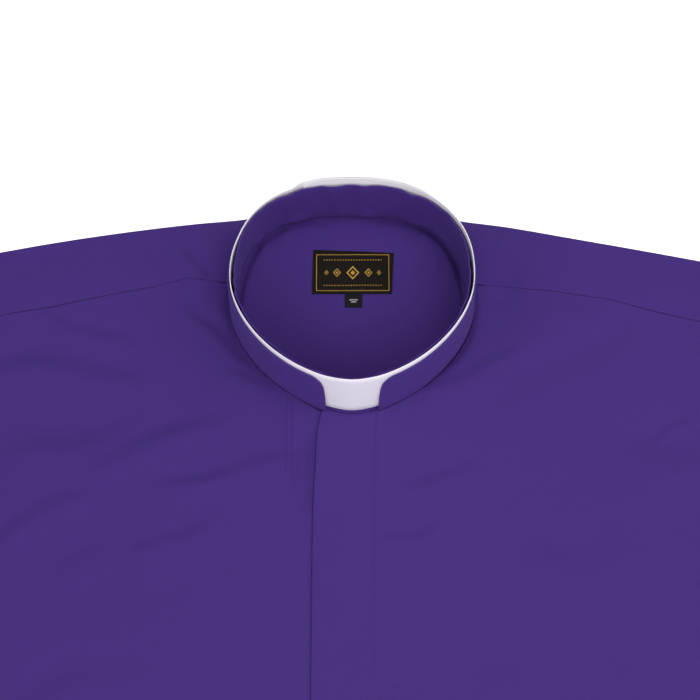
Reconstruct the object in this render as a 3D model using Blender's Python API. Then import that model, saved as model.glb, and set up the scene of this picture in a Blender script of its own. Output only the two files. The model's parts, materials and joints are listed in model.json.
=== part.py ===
"""A short-sleeved clergy shirt with a white collar insert, buttoned, laid flat on its back.

+X is the wearer's left, +Y points to the head and +Z is up. The cloth lies on the plane z = 0 and the
collar stands up from it, leaning a little to the head. Lengths are in millimetres and angles in degrees;
each mesh is scaled to metres when it is made. The outlines are worked out with the back neck seam at
y = 0, and one empty then carries every piece so that the bottom centre of the whole box is the origin.
"""

import math

import bmesh
import bpy
import numpy as np

MM = 0.001

# Cloth and sewing
CLOTH = 1.2  # wall of a cloth piece
PLACKET_WALL = 1.8  # the placket is folded double
SEAM_GAP = 0.4  # between two pieces that meet at a seam
LAYER_GAP = 0.3  # between two layers that lie on each other
FLAT_TOP = 2 * CLOTH + LAYER_GAP  # top of two layers lying flat

# Neck seam, the ring where collar and body meet: a rounded back and a narrower front
NECK_ACROSS = 68.5  # half width, side to side
NECK_ALONG = 69.0  # half length, back to front, along its slope
NECK_BACK_POWER = 2.87  # 2 is an ellipse, more is squarer, less is more pointed
NECK_FRONT_POWER = 1.62
NECK_TILT = 12.45  # the ring's plane rises to the front
NECK_BACK_Z = 1.9  # height of the seam at the centre back

# Collar, from its seam up to its top edge
TOP_ACROSS = 69.0
TOP_ALONG = 67.1
TOP_BACK_POWER = 2.5
TOP_FRONT_POWER = 1.74
TOP_SHIFT = 1.0  # the top sits this much nearer the head
INSERT_FRONT_HEIGHT = 32.3
INSERT_BACK_HEIGHT = 37.3
INSERT_WALL = 1.0
INSERT_BOTTOM = 4.0  # above the neck seam
FLARED_AT = 3.4  # the layers have parted to let it in at this height
INSERT_START = -24.0  # the inner end, on the wearer's right of the centre back
INSERT_END = 402.0  # the outer end, past one full turn
INSERT_OVERLAP_INSET = 1.35  # how far the inner end lies inside the outer one
INSERT_EASE = (46.0, 80.0)  # the angles between which it comes out to the common line
OUTER_SLACK = 0.15  # air between the insert and the outer band, past the gap of touching layers
OUTER_DROP = 2.8  # top of the outer band below the insert's
OUTER_BACK_DROP = 2.7  # more of it at the back, where the photo shows no purple behind the white
BAND_DROP = 2.7  # top of the inner band below the insert's
BAND_SLACK = 0.9  # air between the insert and the inner band
BAND_BACK_SLACK = 0.6  # more of it at the back, where the insert is double
BACK_SPREAD = (1.2, 0.2)  # how far round the back part reaches: slope and level of its fading
WINDOW_HALF_WIDTH = 14.6  # the gap in the outer band that shows the insert
WINDOW_SILL = 3.6
WINDOW_CORNER = 5.0  # radius of the outer band's rounded ends
WINDOW_LEAN = 0.4  # the ends lean apart by this up to their rounded corners
WINDOW_STEPS = (0.0, 0.5, 1.4, 2.8, 4.8)  # degrees from the ends, for extra columns round their corners
WINDOW_FROM = 120.0  # the rounded ends lie past this angle

# Body
NECK_CLEARANCE = 2.15  # from the middle of the collar to the edge of the shirt's cloth
CHORD_CLEARANCE = 0.3  # more of it where the edge has long straight chords
SHOULDER_WIDTH = 246.0  # half width at the sleeve seam
YOKE_BACK_Y = -108.0
UNDERARM_Y = -282.0
HEM_SIDE_Y = -722.0
HEM_CENTRE_Y = -792.0
FRONT_REACH = 72.0  # how slowly the front sinks from the collar to the table
SIDE_REACH = 38.0
LOOSENESS = 2.3  # air between front and back away from the edges
LOOSE_FROM_SIDE = 48.0  # distances from the edges over which the layers part
LOOSE_FROM_HEM = 60.0
LOOSE_FROM_SHOULDER = 34.0
LOOSE_FROM_NECK = 30.0
EDGE_OVER_SEAM = 1.3  # the cloth's top above the neck seam's line, at the sides and back
EDGE_UNDER_SEAM = 1.1  # its top below that line at the centre front
CENTRE_FRONT = (150.0, 175.0)  # the angles between which it changes from the one to the other
FRONT_BIAS = 0.6  # more keeps the slow front reach nearer the centre front
SEAM_AT_NECK = (60.0, 120.0)  # the front yoke seam meets the neck between these angles
FOLDS_FROM_NECK = 10.0  # the folds start this gradually from the collar
FOLD_END_LOSS = 0.75  # share of its height that a fold loses at its ends
YOKE_BEHIND_SEAM = 0.42  # its front edge lies this far behind the seam's line
YOKE_EDGE_UP = 0.7  # the yoke's edge at the neck stands this far above the seam's line
YOKE_EDGE_BACK = 0.3  # and lies this much farther back at its sides
YOKE_FOLLOWS = (44.0, 56.0)  # from the first to the second, the yoke's strip comes to follow the cloth
DRAWN_IN = (150.0, 240.0)  # its columns lean in to the armhole more and more between these
HEM_FLAT = 0.25  # share of the half width over which the hem is level at its centre
DIP = 0.1  # half the depth of the dips in the layer that lies on the table
DIP_ACROSS = 19.0  # one radian of those dips, across and along
DIP_ALONG = 15.0
PLACKET_STEP = 10.0  # the placket's extra thickness fades over this
LAP_FADE = 34.0  # the left front comes down to the right one's level over this
LAP_GAP = 0.5  # between the two fronts where they lap

# Shoulder fold and front yoke seam, at a distance from the centre on the wearer's right and left
SHOULDER_FOLD = (
    # distance, right y, left y
    (0, 3.4, 3.4),
    (36, 2.5, 2.5),
    (50, 0.2, -0.2),
    (64, -3.3, -4.2),
    (90, -5.8, -7.8),
    (120, -9.5, -13.4),
    (150, -13.9, -19.1),
    (180, -19.0, -24.9),
    (207, -24.3, -30.3),
    (246, -32.0, -38.0),
)
FRONT_SEAM = (
    # distance, right y, left y
    (66, -42.0, -42.6),
    (90, -42.4, -45.0),
    (105, -44.0, -48.2),
    (125, -49.0, -51.6),
    (151, -55.2, -56.6),
    (176, -60.5, -63.4),
    (204, -65.3, -69.6),
    (250, -72.6, -78.4),
)
# Half width of the body along the armhole and down the side seam
SIDE_EDGE = (
    # y, half width
    (-792, 291),
    (-722, 292),
    (-600, 295),
    (-450, 298),
    (-330, 301),
    (-282, 302),
)
ARMHOLE = (
    # y, half width
    (-282, 302),
    (-276, 287),
    (-262, 268),
    (-240, 251),
    (-212, 239),
    (-180, 233),
    (-145, 232),
    (-108, 236),
    (-72, 241),
    (-30, 246.4),
)
# The placket's folded edge and the line of stitches on its other side
PLACKET = (
    # y, folded edge x, stitched edge x
    (-792, -25.0, 8.5),
    (-228, -22.4, 11.0),
    (-188, -22.0, 12.4),
    (-168, -20.8, 13.2),
    (-150, -19.9, 13.6),
    (-137, -18.2, 14.1),
    (-131, -16.0, 14.4),
)
UNDERLAP = 1.5  # the lower front ends this much before the stitches
UNDER_SHIFT = 2.0  # its grid starts this far beyond the placket's folded edge
UNDER_SHORT = 1.5  # its strip ends this far below the lowest point of the neck's edge
STRIP_FADE = 60.0  # the strip's rows bend to the neck's edge over this length
CHEST_START = 14.0  # the chest's rows start this far above the underarm

# Sleeve hem: its corners at the overarm fold and at the underarm
SLEEVE_OVERARM = (471.0, -155.0)
SLEEVE_UNDERARM = (389.0, -305.0)
SLEEVE_LOOSENESS = 2.0
SLEEVE_FOLD_LEAN = 0.12  # the folds run this much across the sleeve along its whole length
SLEEVE_RISE = (3.0, 4.0, 6.0)  # how fast the looseness, the folds and the edges rise from flat

# Label and size tab, inside the yoke
LABEL_SIZE = (46.4, 26.6)
LABEL_CENTRE = (0.4, -37.2)
TAB_SIZE = (10.2, 8.0)
TAB_CENTRE = (0.9, -54.9)
LABEL_WALL = 1.0
LABEL_CORNER = 0.7

# Folds of the upper layer: from one end to the other, bowed sideways, with a half width and a height
FOLDS = (
    # x0, y0, x1, y1, bow, half width, height
    (-206, -106, -116, -119, 7, 12, 1.2),
    (-200, -84, -120, -94, 7, 12, -1.0),
    (-182, -76, -134, -91, 2, 10, 0.9),
    (-168, -169, -62, -134, -3, 13, 1.7),
    (-172, -140, -80, -112, -3, 14, -1.4),
    (-198, -164, -152, -162, 0, 12, 0.9),
    (-116, -180, -34, -160, 3, 12, 1.4),
    (-104, -157, -36, -139, 3, 11, -1.0),
    (-200, -210, -146, -181, 2, 11, 1.4),
    (-124, -218, -78, -199, 2, 11, 1.2),
    (-100, -56, -46, -107, -3, 9, -2.6),
    (-93, -47, -66, -84, -2, 8, 0.9),
    (44, -112, 132, -66, -2, 13, 2.0),
    (38, -94, 86, -80, 2, 10, -1.2),
    (28, -177, 74, -168, 2, 10, 1.0),
    (150, -173, 198, -157, 3, 13, 1.1),
    (148, -147, 194, -131, 3, 11, -0.9),
    (60, -214, 130, -198, 4, 16, 1.2),
    (-60, -262, -150, -312, 8, 18, -1.7),
    (40, -286, 168, -262, 9, 18, -1.6),
    (-236, -262, -150, -372, 12, 20, 1.9),
    (240, -258, 160, -396, -12, 20, 1.9),
    (-40, -372, -190, -452, 12, 20, -1.8),
    (36, -402, 150, -470, -10, 19, -1.6),
    (96, -350, 214, -330, -6, 17, -1.4),
    (-230, -522, -90, -570, 9, 22, 1.9),
    (54, -566, 216, -520, 11, 21, 1.8),
    (-52, -640, -168, -668, 6, 20, -1.6),
    (66, -676, 186, -640, 8, 20, -1.6),
)
SLEEVE_FOLDS = (
    # along from the armhole, across from the overarm fold, reach along, reach across, height
    (0.30, 0.30, 0.34, 0.09, 1.5),
    (0.55, 0.62, 0.40, 0.08, 1.3),
    (0.28, 0.80, 0.22, 0.07, 1.2),
)

# Colours, as the materials hold them
PURPLE = (0.061, 0.030, 0.191)
DARK_PURPLE = (0.045, 0.021, 0.145)
WHITE = (0.78, 0.74, 0.82)
BLACK = (0.010, 0.008, 0.008)

# How finely the cloth is divided
COLLAR_STEP = 6.0  # degrees
BACK_COLUMNS = 17
HEM_ROWS = 11
CHEST_ROWS = 16
NECK_ROWS = 9
FRONT_COLUMNS = 21
PLACKET_COLUMNS = 3
YOKE_NECK_COLUMNS = 12
YOKE_SHOULDER_COLUMNS = 15
COLUMN_EASE = 1.15  # over 1 puts the columns closer together near the neck
YOKE_STRIP_ROWS = 5
YOKE_FLOOR_ROWS = 5
FOLD_STEPS = 4  # around the shoulder fold and a sleeve's folds
SLEEVE_ROWS = 5


# Curves and outlines


def smooth_step(value):
    value = min(max(value, 0.0), 1.0)
    return value * value * (3 - 2 * value)


def mix(first, second, share):
    return first + (second - first) * share


def smooth_through(table, at, column=1):
    """Reads a table as a smooth curve through its rows that never overshoots them."""
    places = np.array([row[0] for row in table], float)
    values = np.array([row[column] for row in table], float)
    run = np.diff(places)
    slope = np.diff(values) / run
    same_way = slope[:-1] * slope[1:] > 0
    total = np.where(same_way, slope[:-1] + slope[1:], 1.0)
    inner = np.where(same_way, 2 * slope[:-1] * slope[1:] / total, 0.0)
    tangent = np.concatenate(([slope[0]], inner, [slope[-1]]))
    at = min(max(at, places[0]), places[-1])
    i = min(max(int(np.searchsorted(places, at)) - 1, 0), len(run) - 1)
    t = (at - places[i]) / run[i]
    start = (1 + 2 * t) * (1 - t) ** 2 * values[i] + t * (1 - t) ** 2 * run[i] * tangent[i]
    end = t * t * (3 - 2 * t) * values[i + 1] + t * t * (t - 1) * run[i] * tangent[i + 1]
    return float(start + end)


def shoulder_y(x):
    return smooth_through(SHOULDER_FOLD, abs(x), 1 if x < 0 else 2)


def front_seam_y(x):
    return smooth_through(FRONT_SEAM, abs(x), 1 if x < 0 else 2)


def body_half_width(y):
    return smooth_through(ARMHOLE if y > UNDERARM_Y else SIDE_EDGE, y)


def hem_y(x):
    share = min(abs(x) / body_half_width(HEM_SIDE_Y), 1.0)
    return mix(HEM_CENTRE_Y, HEM_SIDE_Y, smooth_step((share - HEM_FLAT) / (1 - HEM_FLAT)))


def resampled(points, count, ease=1.0):
    """Points along a polyline, evenly spaced, or closer together at its start where ease is over 1."""
    points = np.array(points, float)
    travelled = np.concatenate(([0], np.cumsum(np.hypot(*np.diff(points, axis=0).T))))
    wanted = travelled[-1] * np.linspace(0, 1, count) ** ease
    return np.stack([np.interp(wanted, travelled, points[:, i]) for i in (0, 1)], axis=1)


def moved_sideways(points, distance):
    """A polyline moved to its right by a distance, square to its own direction."""
    points = np.array(points, float)
    ways = np.gradient(points, axis=0)
    ways /= np.hypot(ways[:, 0], ways[:, 1])[:, None]
    return points + distance * np.stack([ways[:, 1], -ways[:, 0]], axis=1)


# The neck ring


def ring_radius(angle, across, along, back_power, front_power):
    sine, cosine = math.sin(math.radians(angle)), math.cos(math.radians(angle))
    power = back_power if cosine > 0 else front_power
    return (abs(sine / across) ** power + abs(cosine / along) ** power) ** (-1 / power)


def seam_radius(angle, offset=0.0):
    return ring_radius(
        angle, NECK_ACROSS + offset, NECK_ALONG + offset, NECK_BACK_POWER, NECK_FRONT_POWER
    )


def top_radius(angle, offset=0.0):
    return ring_radius(
        angle, TOP_ACROSS + offset, TOP_ALONG + offset, TOP_BACK_POWER, TOP_FRONT_POWER
    )


def insert_height(angle):
    back = (1 + math.cos(math.radians(angle))) / 2
    return mix(INSERT_FRONT_HEIGHT, INSERT_BACK_HEIGHT, back)


def ring_point(angle, height, offset):
    """A point of the collar: angle from the centre back to the wearer's left, height above the seam."""
    share = height / insert_height(angle)
    radius = mix(seam_radius(angle, offset), top_radius(angle, offset), share)
    x = radius * math.sin(math.radians(angle))
    along = radius * math.cos(math.radians(angle)) + TOP_SHIFT * share - NECK_ALONG
    sine, cosine = math.sin(math.radians(NECK_TILT)), math.cos(math.radians(NECK_TILT))
    return x, along * cosine + height * sine, NECK_BACK_Z - along * sine + height * cosine


def from_neck(x, y):
    """The angle around the neck seam, and how far a place in plan lies outside the cloth's edge there."""
    along = y / math.cos(math.radians(NECK_TILT)) + NECK_ALONG
    angle = math.degrees(math.atan2(x, along))
    return angle, math.hypot(x, along) - seam_radius(angle, NECK_CLEARANCE)


def cloth_edge_at_neck(angle, more=0.0):
    return ring_point(angle, 0, NECK_CLEARANCE + more)[:2]


def lower_top(x, y):
    """Height of the upper face of the layer that lies on the table, which is never quite flat."""
    across = math.sin(x / DIP_ACROSS + y / (4 * DIP_ALONG))
    along = math.cos(y / DIP_ALONG - x / (4 * DIP_ACROSS))
    return CLOTH + DIP * (across * along - 1)


def angle_at_seam(side):
    """The angle where the front yoke seam meets the neck."""
    angles = np.linspace(*SEAM_AT_NECK, 601)
    gaps = []
    for angle in angles:
        x, y = cloth_edge_at_neck(side * angle)
        gaps.append(abs(y - front_seam_y(x)))
    return float(angles[int(np.argmin(gaps))])


# The upper layer's height


def fold_height(x, y):
    """The soft folds: each is a bowed ridge or trough that fades at its ends."""
    total = 0.0
    for x0, y0, x1, y1, bow, half_width, height in FOLDS:
        length = math.hypot(x1 - x0, y1 - y0)
        way_x, way_y = (x1 - x0) / length, (y1 - y0) / length
        along = (x - x0) * way_x + (y - y0) * way_y
        share = min(max(along / length, 0.0), 1.0)
        aside = (y - y0) * way_x - (x - x0) * way_y - bow * 4 * share * (1 - share)
        past = max(-along, along - length, 0.0)
        taper = 1 - FOLD_END_LOSS * (2 * share - 1) ** 4
        total += height * taper * math.exp(-(aside**2 + 2 * past**2) / half_width**2)
    return total


def looseness(x, y):
    """0 at the edges, where the layers are sewn together, and 1 well inside them."""
    from_side = body_half_width(y) - abs(x)
    from_hem = y - hem_y(x)
    from_shoulder = shoulder_y(x) - y
    inside = smooth_step(from_side / LOOSE_FROM_SIDE) * smooth_step(from_shoulder / LOOSE_FROM_SHOULDER)
    return inside * smooth_step(from_hem / LOOSE_FROM_HEM)


def cloth_top(x, y):
    """Height of the outer face of the upper layer, at a place in plan."""
    angle, beyond = from_neck(x, y)
    beyond = max(beyond, 0.0)
    behind = max(shoulder_y(x) - y, 0.0)
    near_neck = min(1.0, 2 * behind / (behind + beyond + 0.01))
    seam_z = ring_point(angle, 0, 0)[2]
    start, end = CENTRE_FRONT
    centre_front = smooth_step((abs(angle) - start) / (end - start))
    at_neck = seam_z + mix(EDGE_OVER_SEAM, -EDGE_UNDER_SEAM, centre_front)
    front = (1 - math.cos(math.radians(angle))) / 2
    reach = mix(SIDE_REACH, FRONT_REACH, smooth_step(front * (1 + FRONT_BIAS) - FRONT_BIAS))
    rise = max(at_neck - FLAT_TOP, 0.0) * math.exp(-beyond / reach) * (1 - (1 - near_neck) ** 2)
    loose = looseness(x, y)
    folds = fold_height(x, y) * (1 - math.exp(-beyond / FOLDS_FROM_NECK))
    air = LOOSENESS * (1 - math.exp(-beyond / LOOSE_FROM_NECK))
    return FLAT_TOP + rise + loose * (air + folds)


# Making objects


def clear_scene():
    for item in list(bpy.data.objects):
        bpy.data.objects.remove(item, do_unlink=True)


def finish(name, colour, roughness):
    made = bpy.data.materials.new(name)
    made.use_nodes = True
    shader = made.node_tree.nodes["Principled BSDF"]
    shader.inputs["Base Color"].default_value = (*colour, 1.0)
    shader.inputs["Roughness"].default_value = roughness
    shader.inputs["Metallic"].default_value = 0.0
    return made


def wall(name, faces, outer, inner, colour, roughness=0.85):
    """One closed wall between an outer and an inner face that share a layout of quads."""
    shape = bmesh.new()
    outside = [shape.verts.new(np.array(point) * MM) for point in outer]
    inside = [shape.verts.new(np.array(point) * MM) for point in inner]
    shape.verts.index_update()
    for face in faces:
        shape.faces.new([outside[i] for i in face])
    rim = []
    for edge in shape.edges:
        if edge.is_boundary:
            loop = edge.link_loops[0]
            rim.append((loop.vert.index, loop.link_loop_next.vert.index))
    for a, b in rim:
        shape.faces.new([outside[b], outside[a], inside[a], inside[b]])
    for face in faces:
        shape.faces.new([inside[i] for i in reversed(face)])
    mesh = bpy.data.meshes.new(name)
    shape.to_mesh(mesh)
    shape.free()
    mesh.shade_smooth()
    mesh.set_sharp_from_angle(angle=math.radians(50))
    mesh.materials.append(finish(name + "_finish", colour, roughness))
    piece = bpy.data.objects.new(name, mesh)
    bpy.context.scene.collection.objects.link(piece)
    return piece


def grid_faces(rows, columns, closed=False, flip=False):
    """Quads of a grid of points that is stored row by row, closed where its last column meets its first."""
    faces = []
    for i in range(rows - 1):
        for j in range(columns if closed else columns - 1):
            after = (j + 1) % columns
            face = (i * columns + j, i * columns + after, (i + 1) * columns + after, (i + 1) * columns + j)
            faces.append(tuple(reversed(face)) if flip else face)
    return faces


# Collar


def ring_angles(extra=()):
    regular = np.arange(-180, 180, COLLAR_STEP)
    return sorted({round(float(angle), 3) for angle in [*regular, *extra]})


def flare(height):
    """The layers part above the seam to let the insert in."""
    return min(height / FLARED_AT, 1.0)


def outer_offsets(angle, height):
    inner = mix(LAYER_GAP / 2, INSERT_WALL / 2 + LAYER_GAP + OUTER_SLACK, flare(height))
    return inner, inner + CLOTH


def at_back(angle):
    """1 round the back of the collar, fading to 0 past its sides."""
    slope, level = BACK_SPREAD
    return smooth_step(math.cos(math.radians(angle)) * slope + level)


def band_offsets(angle, height):
    loose = INSERT_WALL / 2 + LAYER_GAP + BAND_SLACK + BAND_BACK_SLACK * at_back(angle)
    outer = -mix(LAYER_GAP / 2, loose, flare(height))
    return outer - CLOTH, outer


def insert_offsets(angle, height):
    """The insert's inner end lies inside its outer end, and eases out to the common line past them."""
    start, end = INSERT_EASE
    centre = -INSERT_OVERLAP_INSET * (1 - smooth_step((angle - start) / (end - start)))
    return centre - INSERT_WALL / 2, centre + INSERT_WALL / 2


def outer_top(angle):
    """Top edge of the outer band, cut down to a sill between its rounded ends at the front."""
    full = insert_height(angle) - OUTER_DROP - OUTER_BACK_DROP * at_back(angle)
    from_front = math.radians(180 - abs(angle))
    aside = top_radius(angle) * math.sin(from_front) - WINDOW_HALF_WIDTH
    if abs(angle) < WINDOW_FROM:
        return full
    if aside <= 0:
        return WINDOW_SILL
    if aside < WINDOW_LEAN:
        return mix(WINDOW_SILL, full - WINDOW_CORNER, aside / WINDOW_LEAN)
    corner = min((aside - WINDOW_LEAN) / WINDOW_CORNER, 1.0)
    return full - WINDOW_CORNER * (1 - math.sqrt(1 - (1 - corner) ** 2))


def collar_wall(name, angles, heights, offsets, colour, roughness=0.85, closed=True):
    """A standing ring, or a strip bent to a ring; heights gives each angle's row heights."""
    outer, inner = [], []
    columns = [(angle, heights(angle)) for angle in angles]
    for row in range(len(columns[0][1])):
        for angle, levels in columns:
            near, far = offsets(angle, levels[row])
            inner.append(ring_point(angle, levels[row], near))
            outer.append(ring_point(angle, levels[row], far))
    faces = grid_faces(len(columns[0][1]), len(angles), closed, flip=True)
    return wall(name, faces, outer, inner, colour, roughness)


def make_collar():
    window_edge = math.degrees(math.asin(WINDOW_HALF_WIDTH / top_radius(180)))
    extra = [side * (180 - window_edge - step) for side in (-1, 1) for step in WINDOW_STEPS]

    def outer_rows(angle):
        top = outer_top(angle)
        parted = min(FLARED_AT, top * 0.6)
        return [0, parted, mix(parted, top, 0.5), top]

    def band_rows(angle):
        top = insert_height(angle) - BAND_DROP
        return [0, FLARED_AT, top * 0.55, top]

    def insert_rows(angle):
        top = insert_height(angle)
        return [INSERT_BOTTOM, mix(INSERT_BOTTOM, top, 0.5), top]

    collar_wall("collar_outer", ring_angles(extra), outer_rows, outer_offsets, PURPLE)
    collar_wall("collar_band", ring_angles(), band_rows, band_offsets, DARK_PURPLE)
    turns = set(np.arange(INSERT_START, INSERT_END + 0.1, COLLAR_STEP))
    turns = sorted(turns | {angle % 360 for angle in extra})
    collar_wall("collar_insert", turns, insert_rows, insert_offsets, WHITE, 0.35, closed=False)


# Yoke


def section(x, y_end, z_end, follows_cloth):
    """The yoke cut across at x: the middle line of its cloth from its upper end to its back seam.

    It comes back from the end to the shoulder, turns under it, and lies on the table to the back seam.
    """
    bend = CLOTH / 2 + LAYER_GAP / 2
    centre_y, centre_z = shoulder_y(x) - CLOTH - LAYER_GAP / 2, FLAT_TOP / 2
    reach_y, reach_z = y_end - centre_y, z_end - centre_z
    far = math.hypot(reach_y, reach_z)
    start = math.atan2(reach_z, reach_y) - math.acos(min(bend / far, 1.0))
    turned_y, turned_z = centre_y + bend * math.cos(start), centre_z + bend * math.sin(start)
    line = []
    for i in range(YOKE_STRIP_ROWS):
        share = i / YOKE_STRIP_ROWS
        y = mix(y_end, turned_y, share)
        straight = mix(z_end, turned_z, share)
        line.append((y, mix(straight, cloth_top(x, y) - CLOTH / 2, follows_cloth)))
    for i in range(FOLD_STEPS + 1):
        turn = mix(start, -math.pi / 2, i / FOLD_STEPS)
        line.append((centre_y + bend * math.cos(turn), centre_z + bend * math.sin(turn)))
    back_y = YOKE_BACK_Y + SEAM_GAP / 2
    for i in range(YOKE_FLOOR_ROWS):
        line.append((mix(centre_y, back_y, (i + 1) / YOKE_FLOOR_ROWS), CLOTH / 2))
    return line


def section_faces(line):
    """The outer and inner face of a section, half the cloth's wall to each side of its middle line."""
    line = np.array(line)
    ways = np.gradient(line, axis=0)
    ways[YOKE_STRIP_ROWS + FOLD_STEPS :] = (-1.0, 0.0)
    ways /= np.hypot(ways[:, 0], ways[:, 1])[:, None]
    out = np.stack([-ways[:, 1], ways[:, 0]], axis=1) * -CLOTH / 2
    return line - out, line + out


def drawn_in(x, y):
    """The yoke's outer columns lean in to the armhole."""
    start, end = DRAWN_IN
    narrowing = smooth_step((abs(x) - start) / (end - start))
    return x - (SHOULDER_WIDTH - body_half_width(y)) * narrowing * math.copysign(1, x)


def make_yoke():
    stations = []
    joins = {side: angle_at_seam(side) for side in (-1, 1)}
    start, end = YOKE_FOLLOWS
    for side in (-1, 1):
        neck = []
        for i in range(YOKE_NECK_COLUMNS + 1):
            angle = side * joins[side] * i / YOKE_NECK_COLUMNS
            x, y, z = ring_point(angle, 0, NECK_CLEARANCE + CLOTH / 2)
            follows = smooth_step((abs(x) - start) / (end - start))
            neck.append((x, y + YOKE_EDGE_BACK * follows, z + YOKE_EDGE_UP, follows))
        edge_x = neck[-1][0]
        for i in range(1, YOKE_SHOULDER_COLUMNS + 1):
            share = (i / YOKE_SHOULDER_COLUMNS) ** COLUMN_EASE
            x = mix(edge_x, side * (SHOULDER_WIDTH - SEAM_GAP / 2), share)
            y = front_seam_y(drawn_in(x, front_seam_y(x))) + YOKE_BEHIND_SEAM
            neck.append((x, y, cloth_top(x, y) - CLOTH / 2, 1.0))
        stations.append(neck)
    ordered = [*reversed(stations[0][1:]), *stations[1]]
    outer, inner = [], []
    for x, y_end, z_end, follows in ordered:
        outside, inside = section_faces(section(x, y_end, z_end, follows))
        for row, ((y, z), (y_in, z_in)) in enumerate(zip(outside, inside)):
            on_table = row > YOKE_STRIP_ROWS + FOLD_STEPS
            outer.append((drawn_in(x, y), y, z))
            inner.append((drawn_in(x, y), y_in, lower_top(x, y_in) if on_table else z_in))
    rows = len(outer) // len(ordered)
    faces = grid_faces(len(ordered), rows, flip=True)
    wall("yoke", faces, outer, inner, PURPLE)


# Fronts and back


def armhole_points(top_y, count):
    """The armhole from the underarm up to a height, on the wearer's left, evenly spaced."""
    fine = [(smooth_through(ARMHOLE, y), y) for y in np.linspace(UNDERARM_Y, top_y, 240)]
    return resampled(fine, count)


def front_top_y(side):
    return front_seam_y(side * smooth_through(ARMHOLE, front_seam_y(side * SHOULDER_WIDTH)))


def side_points():
    fine = [(smooth_through(SIDE_EDGE, y), y) for y in np.linspace(HEM_SIDE_Y, UNDERARM_Y, 60)]
    return resampled(fine, HEM_ROWS + 1)


def outer_side(side):
    """The front's outer edge, from the hem up the side seam and the armhole to the yoke."""
    armhole = armhole_points(front_top_y(side) - SEAM_GAP / 2, CHEST_ROWS + NECK_ROWS + 1)
    armhole = moved_sideways(armhole, -SEAM_GAP / 2)
    armhole[0] = side_points()[-1]
    edge = np.concatenate([side_points()[:-1], armhole])
    return edge * (side, 1)


def placket_edge(y, column):
    return smooth_through(PLACKET, y, column)


def inner_side(side, line_x, join):
    """The front's inner line, from the hem up beside the placket and round the neck to the yoke."""
    corner_angle = side * 150.0
    for _ in range(40):
        x, y = cloth_edge_at_neck(corner_angle)
        corner_angle += side * (abs(x) - abs(line_x(y))) * 0.4
    corner = np.array(cloth_edge_at_neck(corner_angle))
    chest_y = UNDERARM_Y + CHEST_START
    low = [(line_x(y), y) for y in np.linspace(hem_y(0), chest_y, HEM_ROWS + 1)[:-1]]
    chest = [(line_x(y), y) for y in mix(chest_y, corner[1], np.linspace(0, 1, CHEST_ROWS + 1)[:-1])]
    turn = mix(corner_angle, side * join, np.linspace(0, 1, 120))
    arc = [cloth_edge_at_neck(angle, CHORD_CLEARANCE) for angle in turn]
    arc = resampled(arc, NECK_ROWS + 1)
    return np.concatenate([low, chest, arc])


def make_front(name, side, line_column, far_edge, lifted):
    """A front: a main part outside the placket's line, and the strip between that line and its edge."""
    join = angle_at_seam(side)

    def line_x(y):
        return placket_edge(y, line_column) - (0 if lifted else UNDER_SHIFT)

    inner = inner_side(side, line_x, join)
    outer = outer_side(side)
    inner[-1][1] -= SEAM_GAP / 2
    across = np.linspace(0, 1, FRONT_COLUMNS + 1) ** COLUMN_EASE
    hem = [(x, hem_y(x)) for x in mix(inner[0][0], outer[0][0], across)]
    top = [(x, front_seam_y(x) - SEAM_GAP / 2) for x in mix(inner[-1][0], outer[-1][0], across)]
    hem, top = np.array(hem), np.array(top)
    hem[-1], top[-1] = outer[0], outer[-1]
    last = len(inner) - 1
    points = []
    for i in range(last + 1):
        v = i / last
        for j, u in enumerate(across):
            ruled = (1 - u) * inner[i] + u * outer[i] + (1 - v) * hem[j] + v * top[j]
            corners = (1 - u) * ((1 - v) * hem[0] + v * top[0]) + u * ((1 - v) * hem[-1] + v * top[-1])
            points.append(ruled - corners)
    columns = FRONT_COLUMNS + 1
    faces = grid_faces(last + 1, columns, flip=side < 0)

    corner_row = HEM_ROWS + CHEST_ROWS
    strip = [[i * columns for i in range(corner_row + 1)]]
    for j in range(1, PLACKET_COLUMNS + 1):
        column = []
        for i in range(corner_row + 1):
            x0, y0 = inner[i]
            x = mix(x0, far_edge(y0), j / PLACKET_COLUMNS)
            near_top = smooth_step((y0 - inner[corner_row][1] + STRIP_FADE) / STRIP_FADE)
            level = neck_edge_y(x, lifted) - inner[corner_row][1]
            column.append(len(points))
            points.append(np.array([x, y0 + level * near_top]))
        strip.append(column)
    for j in range(PLACKET_COLUMNS):
        for i in range(corner_row):
            face = (strip[j][i], strip[j][i + 1], strip[j + 1][i + 1], strip[j + 1][i])
            faces.append(tuple(reversed(face)) if side < 0 else face)

    upper, lower = [], []
    for x, y in points:
        z, thickness = cloth_top(x, y), CLOTH
        if lifted:
            z, thickness = lifted_top(x, y, z)
        upper.append((x, y, z))
        lower.append((x, y, z - thickness))
    wall(name, faces, upper, lower, PURPLE)


def neck_edge_y(x, lifted):
    """Where the strip ends at the neck: on the seam's line, or a little below it under the placket."""
    edge = np.array([cloth_edge_at_neck(angle, CHORD_CLEARANCE) for angle in np.linspace(215, 145, 141)])
    return np.interp(x, edge[:, 0], edge[:, 1]) if lifted else edge[:, 1].min() - UNDER_SHORT


def lifted_top(x, y, below_top):
    """The left front lies on the right one, and its placket is double."""
    line = placket_edge(y, 2)
    on_placket = 1 - smooth_step((x - line) / PLACKET_STEP)
    lift = (LAP_GAP + CLOTH) * (1 - smooth_step((x - line) / LAP_FADE))
    thickness = mix(CLOTH, PLACKET_WALL, on_placket)
    return below_top + lift + thickness - CLOTH, thickness


def make_fronts():
    make_front("front_right", -1, 1, lambda y: placket_edge(y, 2) - UNDERLAP, lifted=False)
    make_front("front_left", 1, 2, lambda y: placket_edge(y, 1), lifted=True)


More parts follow.
